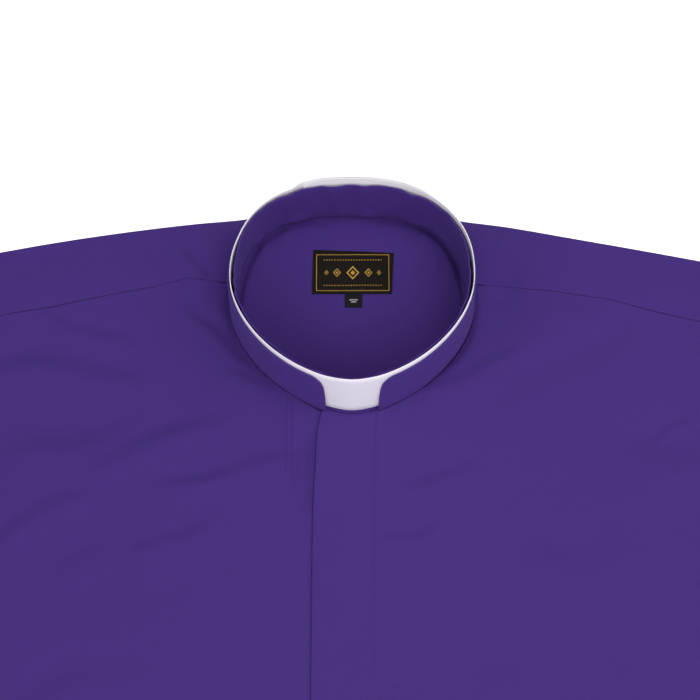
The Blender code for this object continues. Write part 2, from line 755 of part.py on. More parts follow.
def make_back():
    """The back lies flat; its outline runs round from the yoke seam down one side and up the other."""
    seam_y = YOKE_BACK_Y - SEAM_GAP / 2
    armhole = moved_sideways(armhole_points(seam_y, CHEST_ROWS + NECK_ROWS - 1), -SEAM_GAP / 2)
    armhole[0] = side_points()[-1]
    right_edge = np.concatenate([side_points()[:-1], armhole])
    rows = []
    for (x, y), share in zip(right_edge, np.linspace(0, 1, len(right_edge))):
        low = (1 - share) ** 2
        ways = np.linspace(-1, 1, BACK_COLUMNS)
        row = [(x * t, y + (hem_y(x * t) - HEM_SIDE_Y) * low) for t in ways]
        rows.extend(row)
    rows = [(x, min(y, seam_y)) for x, y in rows]
    upper = [(x, y, lower_top(x, y)) for x, y in rows]
    lower = [(x, y, 0.0) for x, y in rows]
    wall("back", grid_faces(len(right_edge), BACK_COLUMNS), upper, lower, PURPLE)


# Sleeves


def make_sleeve(name, side):
    """A flattened tube from the armhole to its straight hem, folded at the overarm and the underarm."""
    shoulder = shoulder_y(side * SHOULDER_WIDTH) - CLOTH
    front_y, back_y = front_top_y(side) - SEAM_GAP / 2, YOKE_BACK_Y - SEAM_GAP / 2
    front = armhole_points(front_y, CHEST_ROWS + NECK_ROWS + 1)
    back = armhole_points(back_y, CHEST_ROWS + NECK_ROWS - 1)
    over_front = [(smooth_through(ARMHOLE, y), y) for y in (mix(front_y, shoulder, 0.5), shoulder)]
    over_back = [(smooth_through(ARMHOLE, y), y) for y in mix(back_y, shoulder, np.array((0.3, 0.6, 1)))]
    start_front = moved_sideways(np.concatenate([front, over_front])[::-1], -SEAM_GAP / 2)
    start_back = moved_sideways(np.concatenate([back, over_back])[::-1], -SEAM_GAP / 2)
    outer, inner = [], []
    for i in range(SLEEVE_ROWS + 1):
        along = i / SLEEVE_ROWS
        loop_out, loop_in = sleeve_loop(start_front, start_back, along)
        outer.extend((side * x, y, z) for x, y, z in loop_out)
        inner.extend((side * x, y, z) for x, y, z in loop_in)
    columns = len(outer) // (SLEEVE_ROWS + 1)
    faces = grid_faces(SLEEVE_ROWS + 1, columns, closed=True, flip=side < 0)
    wall(name, faces, outer, inner, PURPLE)


def sleeve_line(start, along):
    """The sleeve's width at a share of its length, from the overarm to the underarm, inside its folds."""
    travelled = np.concatenate(([0], np.cumsum(np.hypot(*np.diff(start, axis=0).T))))
    across = travelled / travelled[-1]
    hem = np.outer(1 - across, SLEEVE_OVERARM) + np.outer(across, SLEEVE_UNDERARM)
    line = mix(start, hem, along)
    turn = FLAT_TOP / 2
    length = np.hypot(*(line[-1] - line[0]))
    centre = line.mean(axis=0)
    return centre + (line - centre) * (1 - 2 * turn / length), across


def sleeve_loft(along, across):
    loosen, fold, edge = SLEEVE_RISE
    height = SLEEVE_LOOSENESS * math.sin(math.pi * across) * smooth_step(along * loosen)
    for at, place, reach_along, reach_across, lift in SLEEVE_FOLDS:
        aside = (across - place - SLEEVE_FOLD_LEAN * (along - at)) / reach_across
        height += lift * math.exp(-(((along - at) / reach_along) ** 2) - aside**2) * smooth_step(along * fold)
    return height * smooth_step(across * edge) * smooth_step((1 - across) * edge)


def sleeve_loop(start_front, start_back, along):
    """Outer and inner points round the sleeve: over the top, round the underarm, back below."""
    middle = FLAT_TOP / 2
    tops, across = sleeve_line(start_front, along)
    bottoms, _ = sleeve_line(start_back, along)
    outer, inner = [], []
    for (x, y), share in zip(tops, across):
        loft = sleeve_loft(along, share)
        outer.append((x, y, FLAT_TOP + loft))
        inner.append((x, y, FLAT_TOP - CLOTH + loft))
    turn_loop(outer, inner, tops[-1], bottoms[-1], tops[-1] - tops[-2], middle)
    for x, y in bottoms[::-1]:
        outer.append((x, y, 0.0))
        inner.append((x, y, lower_top(x, y)))
    turn_loop(outer, inner, bottoms[0], tops[0], tops[0] - tops[1], middle, upward=True)
    return outer, inner


def turn_loop(outer, inner, start, end, way, middle, upward=False):
    way = way / np.hypot(*way)
    for i in range(1, FOLD_STEPS):
        turn = math.pi * i / FOLD_STEPS
        base = mix(start, end, i / FOLD_STEPS)
        rise = -math.cos(turn) if upward else math.cos(turn)
        for points, radius in ((outer, middle), (inner, LAYER_GAP / 2)):
            x, y = base + way * radius * math.sin(turn)
            points.append((x, y, middle + rise * radius))


# Labels


def make_label(name, size, centre):
    """A woven label, laid on the inside of the yoke: a flat tile with softened corners."""
    z = CLOTH + LAYER_GAP
    shape = bmesh.new()
    bmesh.ops.create_cube(shape, size=1.0)
    bmesh.ops.scale(shape, vec=np.array((*size, LABEL_WALL)) * MM, verts=shape.verts)
    bmesh.ops.translate(shape, vec=np.array((*centre, z + LABEL_WALL / 2)) * MM, verts=shape.verts)
    upright = [edge for edge in shape.edges if abs(edge.verts[0].co.z - edge.verts[1].co.z) > 0.5 * MM]
    bmesh.ops.bevel(shape, geom=upright, offset=LABEL_CORNER * MM, segments=2, affect="EDGES", profile=0.5)
    mesh = bpy.data.meshes.new(name)
    shape.to_mesh(mesh)
    shape.free()
    mesh.materials.append(finish(name + "_finish", BLACK, 0.6))
    piece = bpy.data.objects.new(name, mesh)
    bpy.context.scene.collection.objects.link(piece)


def stand_on_origin():
    """Parents every piece to one empty that brings the box's bottom centre to the origin."""
    pieces = [item for item in bpy.data.objects if item.type == "MESH"]
    corners = np.array([vertex.co for piece in pieces for vertex in piece.data.vertices])
    low, high = corners.min(axis=0), corners.max(axis=0)
    carrier = bpy.data.objects.new("shirt", None)
    bpy.context.scene.collection.objects.link(carrier)
    carrier.location = (-(low[0] + high[0]) / 2, -(low[1] + high[1]) / 2, -low[2])
    for piece in pieces:
        piece.parent = carrier
    print("moved by", tuple(round(value / MM, 3) for value in carrier.location), "mm")


clear_scene()
make_collar()
make_yoke()
make_fronts()
make_back()
make_sleeve("sleeve_right", -1)
make_sleeve("sleeve_left", 1)
make_label("neck_label", LABEL_SIZE, LABEL_CENTRE)
make_label("size_tab", TAB_SIZE, TAB_CENTRE)
stand_on_origin()
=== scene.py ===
import json
import math

import bpy
import numpy as np
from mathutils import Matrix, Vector, noise
from mathutils.bvhtree import BVHTree

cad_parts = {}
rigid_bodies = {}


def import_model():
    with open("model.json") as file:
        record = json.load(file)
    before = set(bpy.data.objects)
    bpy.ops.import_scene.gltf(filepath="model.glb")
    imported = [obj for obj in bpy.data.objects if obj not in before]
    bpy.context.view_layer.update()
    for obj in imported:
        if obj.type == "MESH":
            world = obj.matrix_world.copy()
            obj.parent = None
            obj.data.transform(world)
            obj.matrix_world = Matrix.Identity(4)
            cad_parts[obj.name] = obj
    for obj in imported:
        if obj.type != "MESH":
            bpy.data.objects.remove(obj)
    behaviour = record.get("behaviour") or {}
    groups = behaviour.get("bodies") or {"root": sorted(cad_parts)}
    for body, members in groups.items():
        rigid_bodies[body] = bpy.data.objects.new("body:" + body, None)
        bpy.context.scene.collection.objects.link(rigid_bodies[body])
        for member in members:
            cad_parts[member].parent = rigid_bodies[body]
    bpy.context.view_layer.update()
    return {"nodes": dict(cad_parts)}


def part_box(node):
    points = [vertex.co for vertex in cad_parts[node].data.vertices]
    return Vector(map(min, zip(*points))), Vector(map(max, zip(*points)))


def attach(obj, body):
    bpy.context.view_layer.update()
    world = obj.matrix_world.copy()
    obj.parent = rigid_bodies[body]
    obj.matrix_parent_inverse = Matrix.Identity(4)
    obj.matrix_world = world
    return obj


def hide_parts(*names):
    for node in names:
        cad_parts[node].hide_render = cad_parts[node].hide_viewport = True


# Clergy shirt, laid flat on its back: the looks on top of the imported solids.
# Lengths in the pieces' dictionaries are millimetres, measured from the middle of the back neck seam:
# x to the wearer's left, y to the head, z up from the table. Those in the materials are metres.

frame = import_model()
mm = 0.001

labelLow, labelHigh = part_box("neck_label")
labelFromSeam = 37.2  # the label's middle lies this far below the back neck seam
neckY = (labelLow.y + labelHigh.y) / 2 + labelFromSeam * mm

# the collar's seam lies on a tilted ring
neckRing = {"halfLength": 69.0, "halfWidth": 68.5, "tilt": math.radians(12.45), "backHeight": 1.9}
ringTilt = neckRing["tilt"]
ringCentre = Vector((
    0.0,
    neckY - neckRing["halfLength"] * mm * math.cos(ringTilt),
    (neckRing["backHeight"] + neckRing["halfLength"] * math.sin(ringTilt)) * mm,
))

# the collar's foot lies further out at its sides: angle from the back, distance from the collar's axis
collarFoot = (
    (0, 70.7), (20, 73.9), (40, 77.8), (50, 77.8), (60, 76.1), (80, 71.5),
    (100, 68.9), (120, 65.9), (130, 65.0), (140, 65.2), (160, 67.7), (180, 70.5),
)


def addObject(name, data):
    piece = bpy.data.objects.new(name, data)
    bpy.context.scene.collection.objects.link(piece)
    return piece


# Camera and light

def setCamera():
    setup = {
        "aim": (-1.2, -84.7, 0.0), "distance": 1400.0, "elevation": 70.0,
        "lens": 124.15, "sensor": 36.0,
    }
    data = bpy.data.cameras.new("photoCamera")
    data.lens = setup["lens"]
    data.sensor_width = setup["sensor"]
    camera = addObject("photoCamera", data)
    rise = math.radians(setup["elevation"])
    back = Vector((0.0, -math.cos(rise), math.sin(rise)))
    aim = Vector(setup["aim"]) * mm + Vector((0.0, neckY, 0.0))
    camera.location = aim + back * setup["distance"] * mm
    camera.rotation_euler = (-back).to_track_quat("-Z", "Y").to_euler()
    bpy.context.scene.camera = camera
    print("camera set")


def areaLight(name, place, aim, size, power):
    data = bpy.data.lights.new(name, "AREA")
    data.shape = "DISK"
    data.size = size
    data.energy = power
    lamp = addObject(name, data)
    lamp.location = place
    lamp.rotation_euler = (Vector(aim) - Vector(place)).to_track_quat("-Z", "Y").to_euler()


def setStage():
    look = {
        "floorSize": 40.0,
        "floorDrop": 0.4,  # mm below the cloth
        "paper": (0.93, 0.93, 0.93), "paperRoughness": 0.9,
        # the paper is lit from below too, like a light table
        "paperPlain": {
            "Specular IOR Level": 0.1, "Emission Color": (1.0, 1.0, 1.0, 1.0), "Emission Strength": 0.55,
        },
        "sky": 0.46,
        "lampsAim": -0.1,  # metres from the neck seam towards the hem
    }
    lamps = {
        # name: place in metres, from the neck seam and the table, size, watts
        "keyLight": ((0.12, -1.40, 1.62), 1.3, 20.5),
        "rightLight": ((0.85, -0.30, 0.95), 0.8, 3.2),
        "leftLight": ((-1.10, -0.30, 1.15), 0.9, 4.8),
        "topLight": ((0.40, 0.15, 1.40), 0.9, 7.3),
    }
    bpy.ops.mesh.primitive_plane_add(size=look["floorSize"], location=(0.0, 0.0, -look["floorDrop"] * mm))
    floor = bpy.context.object
    floor.name = "studioFloor"
    paper, wire = startMaterial("studioPaper")
    finishMaterial(paper, wire, shade(look["paper"]), look["paperRoughness"], None, look["paperPlain"])
    floor.data.materials.append(paper)

    world = bpy.data.worlds.new("softSky")
    world.use_nodes = True
    background = world.node_tree.nodes["Background"]
    background.inputs["Color"].default_value = (1.0, 1.0, 1.0, 1.0)
    background.inputs["Strength"].default_value = look["sky"]
    bpy.context.scene.world = world
    aim = (0.0, neckY + look["lampsAim"], 0.0)
    for name, (place, size, power) in lamps.items():
        areaLight(name, (place[0], neckY + place[1], place[2]), aim, size, power)
    bpy.context.scene.view_settings.view_transform = "Standard"
    bpy.context.scene.view_settings.look = "None"
    print("stage and light set")


# Shader maths: a socket that Python's operators act on

class Wire:
    def __init__(self, tree, socket=None):
        self.tree = tree
        self.socket = socket

    def make(self, kind, settings=None, values=None, out=0):
        node = self.tree.nodes.new(kind)
        for key, value in (settings or {}).items():
            setattr(node, key, value)
        for key, value in (values or {}).items():
            self.plug(node.inputs[key], value)
        return Wire(self.tree, node.outputs[out])

    def plug(self, target, value):
        if isinstance(value, Wire):
            self.tree.links.new(value.socket, target)
        else:
            target.default_value = value

    def maths(self, operation, *others):
        return self.make("ShaderNodeMath", {"operation": operation}, dict(enumerate((self, *others))))

    def __add__(self, other):
        return self.maths("ADD", other)

    __radd__ = __add__

    def __mul__(self, other):
        return self.maths("MULTIPLY", other)

    __rmul__ = __mul__

    def __sub__(self, other):
        return self.maths("SUBTRACT", other)

    def __rsub__(self, other):
        return self.make("ShaderNodeMath", {"operation": "SUBTRACT"}, {0: other, 1: self})

    def __pow__(self, other):
        return self.maths("POWER", other)

    def __abs__(self):
        return self.maths("ABSOLUTE")

    def sine(self):
        return self.maths("SINE")

    def below(self, edge):
        return self.maths("LESS_THAN", edge)

    def above(self, edge):
        return self.maths("GREATER_THAN", edge)

    def least(self, other):
        return self.maths("MINIMUM", other)

    def most(self, other):
        return self.maths("MAXIMUM", other)

    def part(self, axis):
        return self.make("ShaderNodeSeparateXYZ", None, {0: self}, axis)


def shade(colour, share=1.0):
    return (*(min(channel * share, 1.0) for channel in colour[:3]), 1.0)


def startMaterial(name):
    material = bpy.data.materials.new(name)
    material.use_nodes = True
    return material, Wire(material.node_tree)


def finishMaterial(material, wire, colour, roughness, normal, plain):
    # Links what changes over the surface, and sets plain numbers on the shader's own sockets.
    sockets = material.node_tree.nodes["Principled BSDF"].inputs
    for name, value in {"Base Color": colour, "Roughness": roughness, **plain}.items():
        wire.plug(sockets[name], value)
    if normal:
        wire.plug(sockets["Normal"], normal)
    return material


def objectPlace(wire, centre=(0.0, 0.0, 0.0), turn=(0.0, 0.0, 0.0)):
    place = wire.make("ShaderNodeTexCoord", None, None, "Object")
    values = {"Vector": place, "Location": centre, "Rotation": turn}
    return wire.make("ShaderNodeMapping", {"vector_type": "TEXTURE"}, values)


def noiseAt(place, scale, detail=2.0, roughness=0.5):
    values = {"Vector": place, "Scale": scale, "Detail": detail, "Roughness": roughness}
    return place.make("ShaderNodeTexNoise", None, values, "Fac")


def stretch(place, scale):
    return place.make("ShaderNodeVectorMath", {"operation": "MULTIPLY"}, {0: place, 1: scale})


def mixColours(wire, share, first, second):
    return wire.make("ShaderNodeMix", {"data_type": "RGBA"}, {"Factor": share, "A": first, "B": second}, 2)


def bump(wire, strength, distance, height, over=None):
    values = {"Strength": strength, "Distance": distance, "Height": height}
    if over:
        values["Normal"] = over
    return wire.make("ShaderNodeBump", None, values, "Normal")


def wovenThreads(across, along, thread):
    beat = math.pi / thread
    return abs((across * beat).sine() * (along * beat).sine())


def makeBroadcloth(name, colour, turn=0.0, aroundCollar=False, seams=()):
    cloth = {
        "thread": 0.00034,  # one thread and its gap
        "threadWander": 0.00022,
        "weaveDepth": 0.00007, "weaveStrength": 0.7,
        "slubs": (60.0, 1500.0),  # noise scale along a thread and across it
        "slubDepth": 0.00010, "slubStrength": 0.6,
        "crumpleScale": 46.0, "crumpleDepth": 0.0007, "cloudScale": 9.0, "grainScale": 420.0,
        "darker": 0.72, "lighter": 1.28,
        # how far the cloud, slubs, grain and weave move the colour between darker and lighter
        "shades": (0.05, 0.20, 0.10, 0.10),
        "roughness": 0.82, "grainRoughness": 0.10, "weaveRoughness": 0.05,
        "plain": {
            "Specular IOR Level": 0.12, "Sheen Weight": 0.05, "Sheen Roughness": 0.45,
            "Sheen Tint": (0.52, 0.44, 0.86, 1.0),
        },
    }
    seam = {
        "grooveHalf": 0.00075,  # half the width of the dent that a row of stitches pulls
        "grooveDepth": 0.00028, "grooveShade": 0.22,
        "puckerReach": 0.0042, "puckerScale": 260.0, "puckerDepth": 0.00035,
    }
    material, wire = startMaterial(name)
    if aroundCollar:
        place = objectPlace(wire, ringCentre, (-ringTilt, 0.0, 0.0))
        roundRing = place.part(0).maths("ARCTAN2", place.part(1)) * (neckRing["halfWidth"] * mm)
        flat = wire.make("ShaderNodeCombineXYZ", None, {0: roundRing, 1: place.part(2), 2: 0.0})
    else:
        place = objectPlace(wire)
        flat = objectPlace(wire, turn=(0.0, 0.0, turn))
    wander = noiseAt(place, 220.0) * cloth["threadWander"]
    weave = wovenThreads(flat.part(0) + wander, flat.part(1) + wander, cloth["thread"]) ** 0.6

    # slubs run along the threads both ways
    slow, quick = cloth["slubs"]
    lengthwise = noiseAt(stretch(flat, (quick, slow, quick)), 1.0)
    crosswise = noiseAt(stretch(flat, (slow, quick, quick)), 1.0)
    slubs = lengthwise * 0.6 + crosswise * 0.4
    cloud = noiseAt(place, cloth["cloudScale"], 3.0, 0.55)
    grain = noiseAt(place, cloth["grainScale"])
    shares = cloth["shades"]
    lightness = (cloud - 0.5) * shares[0] + (slubs - 0.5) * shares[1]
    lightness = lightness + (grain - 0.5) * shares[2] + (weave - 0.6) * shares[3]
    crumple = noiseAt(place, cloth["crumpleScale"], 3.0, 0.55)
    height = crumple * (cloth["crumpleDepth"] / cloth["slubDepth"]) + slubs
    for attribute in seams:
        # the cloth dips along a row of stitches and puckers beside it; the dip is painted darker, as painted
        # shade
        off = wire.make("ShaderNodeAttribute", {"attribute_name": attribute}, None, "Fac")
        dent = (off * off * (-1.0 / seam["grooveHalf"] ** 2)).maths("EXPONENT")
        near = (off * off * (-1.0 / seam["puckerReach"] ** 2)).maths("EXPONENT")
        pucker = noiseAt(place, seam["puckerScale"], 1.0) * near
        height = height - dent * (seam["grooveDepth"] / cloth["slubDepth"])
        height = height + pucker * (seam["puckerDepth"] / cloth["slubDepth"])
        lightness = lightness - dent * seam["grooveShade"]
    mixed = mixColours(wire, lightness + 0.5, shade(colour, cloth["darker"]), shade(colour, cloth["lighter"]))
    rough = (grain - 0.5) * cloth["grainRoughness"] + (0.5 - weave) * cloth["weaveRoughness"]
    soft = bump(wire, cloth["slubStrength"], cloth["slubDepth"], height)
    fine = bump(wire, cloth["weaveStrength"], cloth["weaveDepth"], weave, soft)
    return finishMaterial(material, wire, mixed, rough + cloth["roughness"], fine, cloth["plain"])


def makeInsertPlastic():
    plastic = {
        # painted light: the strip is painted lighter at the back than at the front, to lift the shade that
        # falls on it in the narrow gap behind the band
        "atFront": (0.76, 0.72, 0.81), "atBack": (0.93, 0.91, 0.94),
        "lighterBackReach": 0.07,  # this far behind the collar's axis it has the back's colour
        "shades": (0.955, 1.02),
        "drawn": (30.0, 30.0, 900.0),  # the strip is drawn lengthwise, which leaves faint streaks
        "streakStrength": 0.25, "streakDepth": 0.00006,
        "roughness": 0.36, "cloudRoughness": 0.16, "streakRoughness": 0.10,
        "plain": {"Coat Weight": 0.10, "Coat Roughness": 0.3, "Specular IOR Level": 0.4},
    }
    material, wire = startMaterial("collarInsertPlastic")
    place = objectPlace(wire, ringCentre, (-ringTilt, 0.0, 0.0))
    streaks = noiseAt(stretch(place, plastic["drawn"]), 1.0, 3.0)
    cloud = noiseAt(place, 40.0, 3.0)
    # painted light: the colour turns lighter towards the back, against the shade there
    paintedLightTowardsBack = (place.part(1) * (1.0 / plastic["lighterBackReach"])).most(0.0).least(1.0)
    shades = [
        mixColours(wire, paintedLightTowardsBack, shade(plastic["atFront"], share), shade(plastic["atBack"], share))
        for share in plastic["shades"]
    ]
    mixed = mixColours(wire, streaks * 0.5 + cloud * 0.5, *shades)
    rough = (cloud - 0.5) * plastic["cloudRoughness"] + (streaks - 0.5) * plastic["streakRoughness"]
    relief = bump(wire, plastic["streakStrength"], plastic["streakDepth"], streaks)
    return finishMaterial(material, wire, mixed, rough + plastic["roughness"], relief, plastic["plain"])


def makeThread(name, colour):
    yarn = {"twistScale": 3000.0, "darker": 0.7, "lighter": 1.35, "smoothest": 0.5, "rougher": 0.2}
    material, wire = startMaterial(name)
    twist = noiseAt(objectPlace(wire), yarn["twistScale"], 1.0)
    mixed = mixColours(wire, twist, shade(colour, yarn["darker"]), shade(colour, yarn["lighter"]))
    rough = twist * yarn["rougher"] + yarn["smoothest"]
    return finishMaterial(material, wire, mixed, rough, None, {"Specular IOR Level": 0.2})


def makeWoven(name, node, woven, drawMark):
    # A dark woven ground, and a lighter yarn where drawMark says so, from x and y in mm.
    material, wire = startMaterial(name)
    low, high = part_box(node)
    place = objectPlace(wire, (low + high) / 2)
    threads = wovenThreads(place.part(0), place.part(1), woven["thread"])
    yarn = noiseAt(place, 1800.0)
    mark = drawMark(place.part(0) * 1000.0, place.part(1) * 1000.0)
    ground = mixColours(wire, yarn, shade(woven["ground"]), shade(woven["ground"], woven["groundLighter"]))
    light = mixColours(wire, yarn, shade(woven["mark"], woven["markDarker"]), shade(woven["mark"]))
    mixed = mixColours(wire, mark, ground, light)
    rough = woven["roughness"] - mark * woven["markSmoother"] + (yarn - 0.5) * 0.1
    relief = bump(wire, *woven["relief"], threads * woven["threadsHigh"] + mark * woven["markHigh"])
    return finishMaterial(material, wire, mixed, rough, relief, {"Specular IOR Level": 0.08})


def makeLabelWeave():
    # Black satin ground with a gold frame, two dotted rows and a row of lozenges, woven in.
    woven = {
        "thread": 0.00030,
        "ground": (0.0048, 0.0038, 0.0026), "groundLighter": 2.2,
        "mark": (0.50, 0.30, 0.055), "markDarker": 0.55,
        "roughness": 0.62, "markSmoother": 0.18,
        "threadsHigh": 0.5, "markHigh": 0.8,
        "relief": (0.8, 0.00012),  # strength and depth
    }
    drawn = {
        "frameIn": 2.0,  # mm from the edge to the frame
        "frameWide": 0.35,
        # middle, width and height of each lozenge
        "lozenges": ((0.0, 6.6, 7.4), (-9.2, 4.0, 4.6), (9.2, 4.0, 4.6), (-15.4, 2.3, 2.7), (15.4, 2.3, 2.7)),
        "lozengeLine": 0.16, "lozengeHeart": 0.42,
        "dotRows": (-8.0, 8.0),
        "dots": (1.6, 0.75, 0.28, 17.0),  # pitch, gap, half a dot's height, half the row's length
    }
    halfWidth = (labelHigh.x - labelLow.x) / 2 / mm - drawn["frameIn"]
    halfLength = (labelHigh.y - labelLow.y) / 2 / mm - drawn["frameIn"]

    def drawMark(x, y):
        gold = abs((abs(x) - halfWidth).most(abs(y) - halfLength)).below(drawn["frameWide"] / 2)
        for middle, wide, high in drawn["lozenges"]:
            out = abs(x - middle) * (2.0 / wide) + abs(y) * (2.0 / high)
            line = abs(out - 1.0).below(drawn["lozengeLine"])
            gold = gold.most(line).most(out.below(drawn["lozengeHeart"]))
        pitch, gap, halfHigh, halfRow = drawn["dots"]
        for row in drawn["dotRows"]:
            along = abs((x * (math.pi / pitch)).sine()).above(gap)
            gold = gold.most(along * abs(y - row).below(halfHigh) * abs(x).below(halfRow))
        return gold

    return makeWoven("labelWeave", "neck_label", woven, drawMark)


def makeTabWeave():
    # Two plain woven bars where the real tab has its size.
    woven = {
        "thread": 0.00026,
        "ground": (0.007, 0.006, 0.007), "groundLighter": 2.0,
        "mark": (0.42, 0.40, 0.44), "markDarker": 1.0,
        "roughness": 0.6, "markSmoother": 0.0,
        "threadsHigh": 1.0, "markHigh": 1.0,
        "relief": (0.7, 0.0001),
    }
    bars = ((0.6, 2.4), (-0.7, 1.5))  # y, half width
    halfHigh = 0.28

    def drawMark(x, y):
        upper, lower = (abs(y - row).below(halfHigh) * abs(x).below(half) for row, half in bars)
        return upper.most(lower)

    return makeWoven("sizeTabWeave", "size_tab", woven, drawMark)


# Modelling helpers

def activate(piece):
    bpy.ops.object.select_all(action="DESELECT")
    piece.select_set(True)
    bpy.context.view_layer.objects.active = piece


def applyModifier(piece, kind, **settings):
    activate(piece)
    modifier = piece.modifiers.new(kind, kind)
    for key, value in settings.items():
        setattr(modifier, key, value)
    bpy.ops.object.modifier_apply(modifier=modifier.name)


def shadeSmooth(piece, angle):
    activate(piece)
    bpy.ops.object.shade_smooth_by_angle(angle=math.radians(angle))


def clothCopy(node, name):
    # A finer copy of a packed wall: merged, back to quads, its rims held while the rest is smoothed.
    finer = {"levels": 2, "rimHold": 0.9, "rimAngle": 55.0, "quadAngle": 60.0, "shadeAngle": 48.0}
    piece = addObject(name, frame["nodes"][node].data.copy())
    piece.data.materials.clear()
    activate(piece)
    bpy.ops.object.mode_set(mode="EDIT")
    bpy.ops.mesh.select_all(action="SELECT")
    bpy.ops.mesh.customdata_custom_splitnormals_clear()
    bpy.ops.mesh.remove_doubles(threshold=1e-6)
    quadAngle = math.radians(finer["quadAngle"])
    bpy.ops.mesh.tris_convert_to_quads(face_threshold=quadAngle, shape_threshold=quadAngle)
    bpy.ops.mesh.select_all(action="DESELECT")
    bpy.ops.mesh.select_mode(type="EDGE")
    bpy.ops.mesh.edges_select_sharp(sharpness=math.radians(finer["rimAngle"]))
    bpy.ops.transform.edge_crease(value=finer["rimHold"])
    bpy.ops.mesh.select_mode(type="VERT")
    bpy.ops.mesh.select_all(action="DESELECT")
    bpy.ops.object.mode_set(mode="OBJECT")
    applyModifier(piece, "SUBSURF", levels=finer["levels"], render_levels=finer["levels"])
    shadeSmooth(piece, finer["shadeAngle"])
    return piece


def editFaces(piece, chosen):
    # Selects these faces alone, in edit mode.
    activate(piece)
    bpy.ops.object.mode_set(mode="EDIT")
    bpy.ops.mesh.select_mode(type="FACE")
    bpy.ops.mesh.select_all(action="DESELECT")
    bpy.ops.object.mode_set(mode="OBJECT")
    piece.data.polygons.foreach_set("select", chosen)
    bpy.ops.object.mode_set(mode="EDIT")


def refine(piece, chosen):
    # Splits the chosen faces once more and evens the new points out.
    editFaces(piece, chosen)
    bpy.ops.mesh.subdivide(number_cuts=1)
    bpy.ops.mesh.select_less()
    bpy.ops.mesh.vertices_smooth(factor=0.5, repeat=2)
    bpy.ops.mesh.select_all(action="DESELECT")
    bpy.ops.mesh.select_mode(type="VERT")
    bpy.ops.object.mode_set(mode="OBJECT")


def vectorsOf(items, key):
    vectors = np.empty(len(items) * 3, np.float32)
    items.foreach_get(key, vectors)
    return vectors.reshape(-1, 3)


def pointsOf(piece):
    return vectorsOf(piece.data.vertices, "co").astype(float)


def pointNormals(piece):
    return vectorsOf(piece.data.vertices, "normal").astype(float)


def setPoints(piece, points):
    piece.data.vertices.foreach_set("co", points.astype(np.float32).ravel())
    piece.data.update()


def flatPlace(points):
    # x and y in the shirt's own millimetres
    return points[:, 0] / mm, (points[:, 1] - neckY) / mm


def upperFaces(piece, low, high, steepest=0.6):
    # The faces that look up, between two corners given in the shirt's own millimetres.
    x, y = flatPlace(vectorsOf(piece.data.polygons, "center"))
    inside = (x > low[0]) & (x < high[0]) & (y > low[1]) & (y < high[1])
    return inside & (vectorsOf(piece.data.polygons, "normal")[:, 2] > steepest)


def storeOffset(piece, name, values):
    # Keeps a number on each point, in metres, for the material to read.
    attribute = piece.data.attributes.new(name, "FLOAT", "POINT")
    attribute.data.foreach_set("value", (values * mm).astype(np.float32))


def ease(value, start, over):
    # Goes from 0 to 1 between start and start + over, which lies below start where over is negative.
    share = np.clip((value - start) / over, 0.0, 1.0)
    return share * share * (3.0 - 2.0 * share)


def plateau(value, start, full, last, end):
    return ease(value, start, full - start) * ease(value, end, last - end)


def bell(value, middle, halfWidth):
    return np.exp(-(((value - middle) / halfWidth) ** 2))


def valueAt(place, rows):
    # The rows hold places and the values there.
    return np.interp(place, *np.array(rows).T)


foldShape = {
    "sway": 0.25,  # share of its half width by which a fold swings to both sides
    "swayBeat": (7.0, 2.1),  # along one fold, and from one fold to the next
    "lowerEnds": 0.75,
    "swell": 0.22,  # how far its height comes and goes on the way
    "swellBeat": (9.0, 1.3),
}


def foldSum(x, y, rows, slanted=False):
    # Each fold is a bowed ridge or trough from one end to the other that fades at its ends.
    # A slanted one is a step down to its left side, with the cloth easing back on both sides.
    total = np.zeros_like(x)
    for number, (x0, y0, x1, y1, bow, halfWidth, height) in enumerate(rows):
        length = math.hypot(x1 - x0, y1 - y0)
        wayX, wayY = (x1 - x0) / length, (y1 - y0) / length
        along = (x - x0) * wayX + (y - y0) * wayY
        share = np.clip(along / length, 0.0, 1.0)
        beat, shift = foldShape["swayBeat"]
        sway = foldShape["sway"] * halfWidth * np.sin(share * beat + number * shift)
        aside = (y - y0) * wayX - (x - x0) * wayY - bow * 4 * share * (1 - share) - sway
        past = np.maximum(np.maximum(-along, along - length), 0.0)
        beat, shift = foldShape["swellBeat"]
        taper = 1 - foldShape["lowerEnds"] * (2 * share - 1) ** 4
        taper *= 1 + foldShape["swell"] * np.sin(share * beat + number * shift)
        near = np.exp(-(aside**2 + 2 * past**2) / halfWidth**2)
        total += height * taper * near * (-aside / halfWidth if slanted else 1.0)
    return total


def unevenness(x, y, scale, seed):
    spots = np.stack([x / scale, y / scale, np.full_like(x, seed)], axis=1)
    return np.array([noise.noise(Vector(spot)) for spot in spots])


def ringPlace(points):
    # Angle from the back towards the wearer's left, distance from the collar's axis, height above its seam.
    out = points - np.array(ringCentre)
    along = out[:, 1] * math.cos(ringTilt) - out[:, 2] * math.sin(ringTilt)
    height = out[:, 1] * math.sin(ringTilt) + out[:, 2] * math.cos(ringTilt)
    return np.degrees(np.arctan2(out[:, 0], along)), np.hypot(out[:, 0], along), height


def ringPoints(angle, radius, height):
    along = radius * np.cos(np.radians(angle))
    return np.stack([
        ringCentre.x + radius * np.sin(np.radians(angle)),
        ringCentre.y + along * math.cos(ringTilt) + height * math.sin(ringTilt),
        ringCentre.z - along * math.sin(ringTilt) + height * math.cos(ringTilt),
    ], axis=1)


def outwardShare(piece):
    # How far each point's normal looks away from the collar's axis: 1 outside a wall, -1 inside it.
    points, normals = pointsOf(piece), pointNormals(piece)
    _, radius, _ = ringPlace(points)
    _, further, _ = ringPlace(points + normals * mm)
    return np.clip((further - radius) / mm, -1.0, 1.0)


def beyondCollar(angle, radius):
    # How far a place lies out from the collar's foot, in mm.
    return np.maximum(radius / mm - valueAt(np.abs(angle), collarFoot), 0.0)


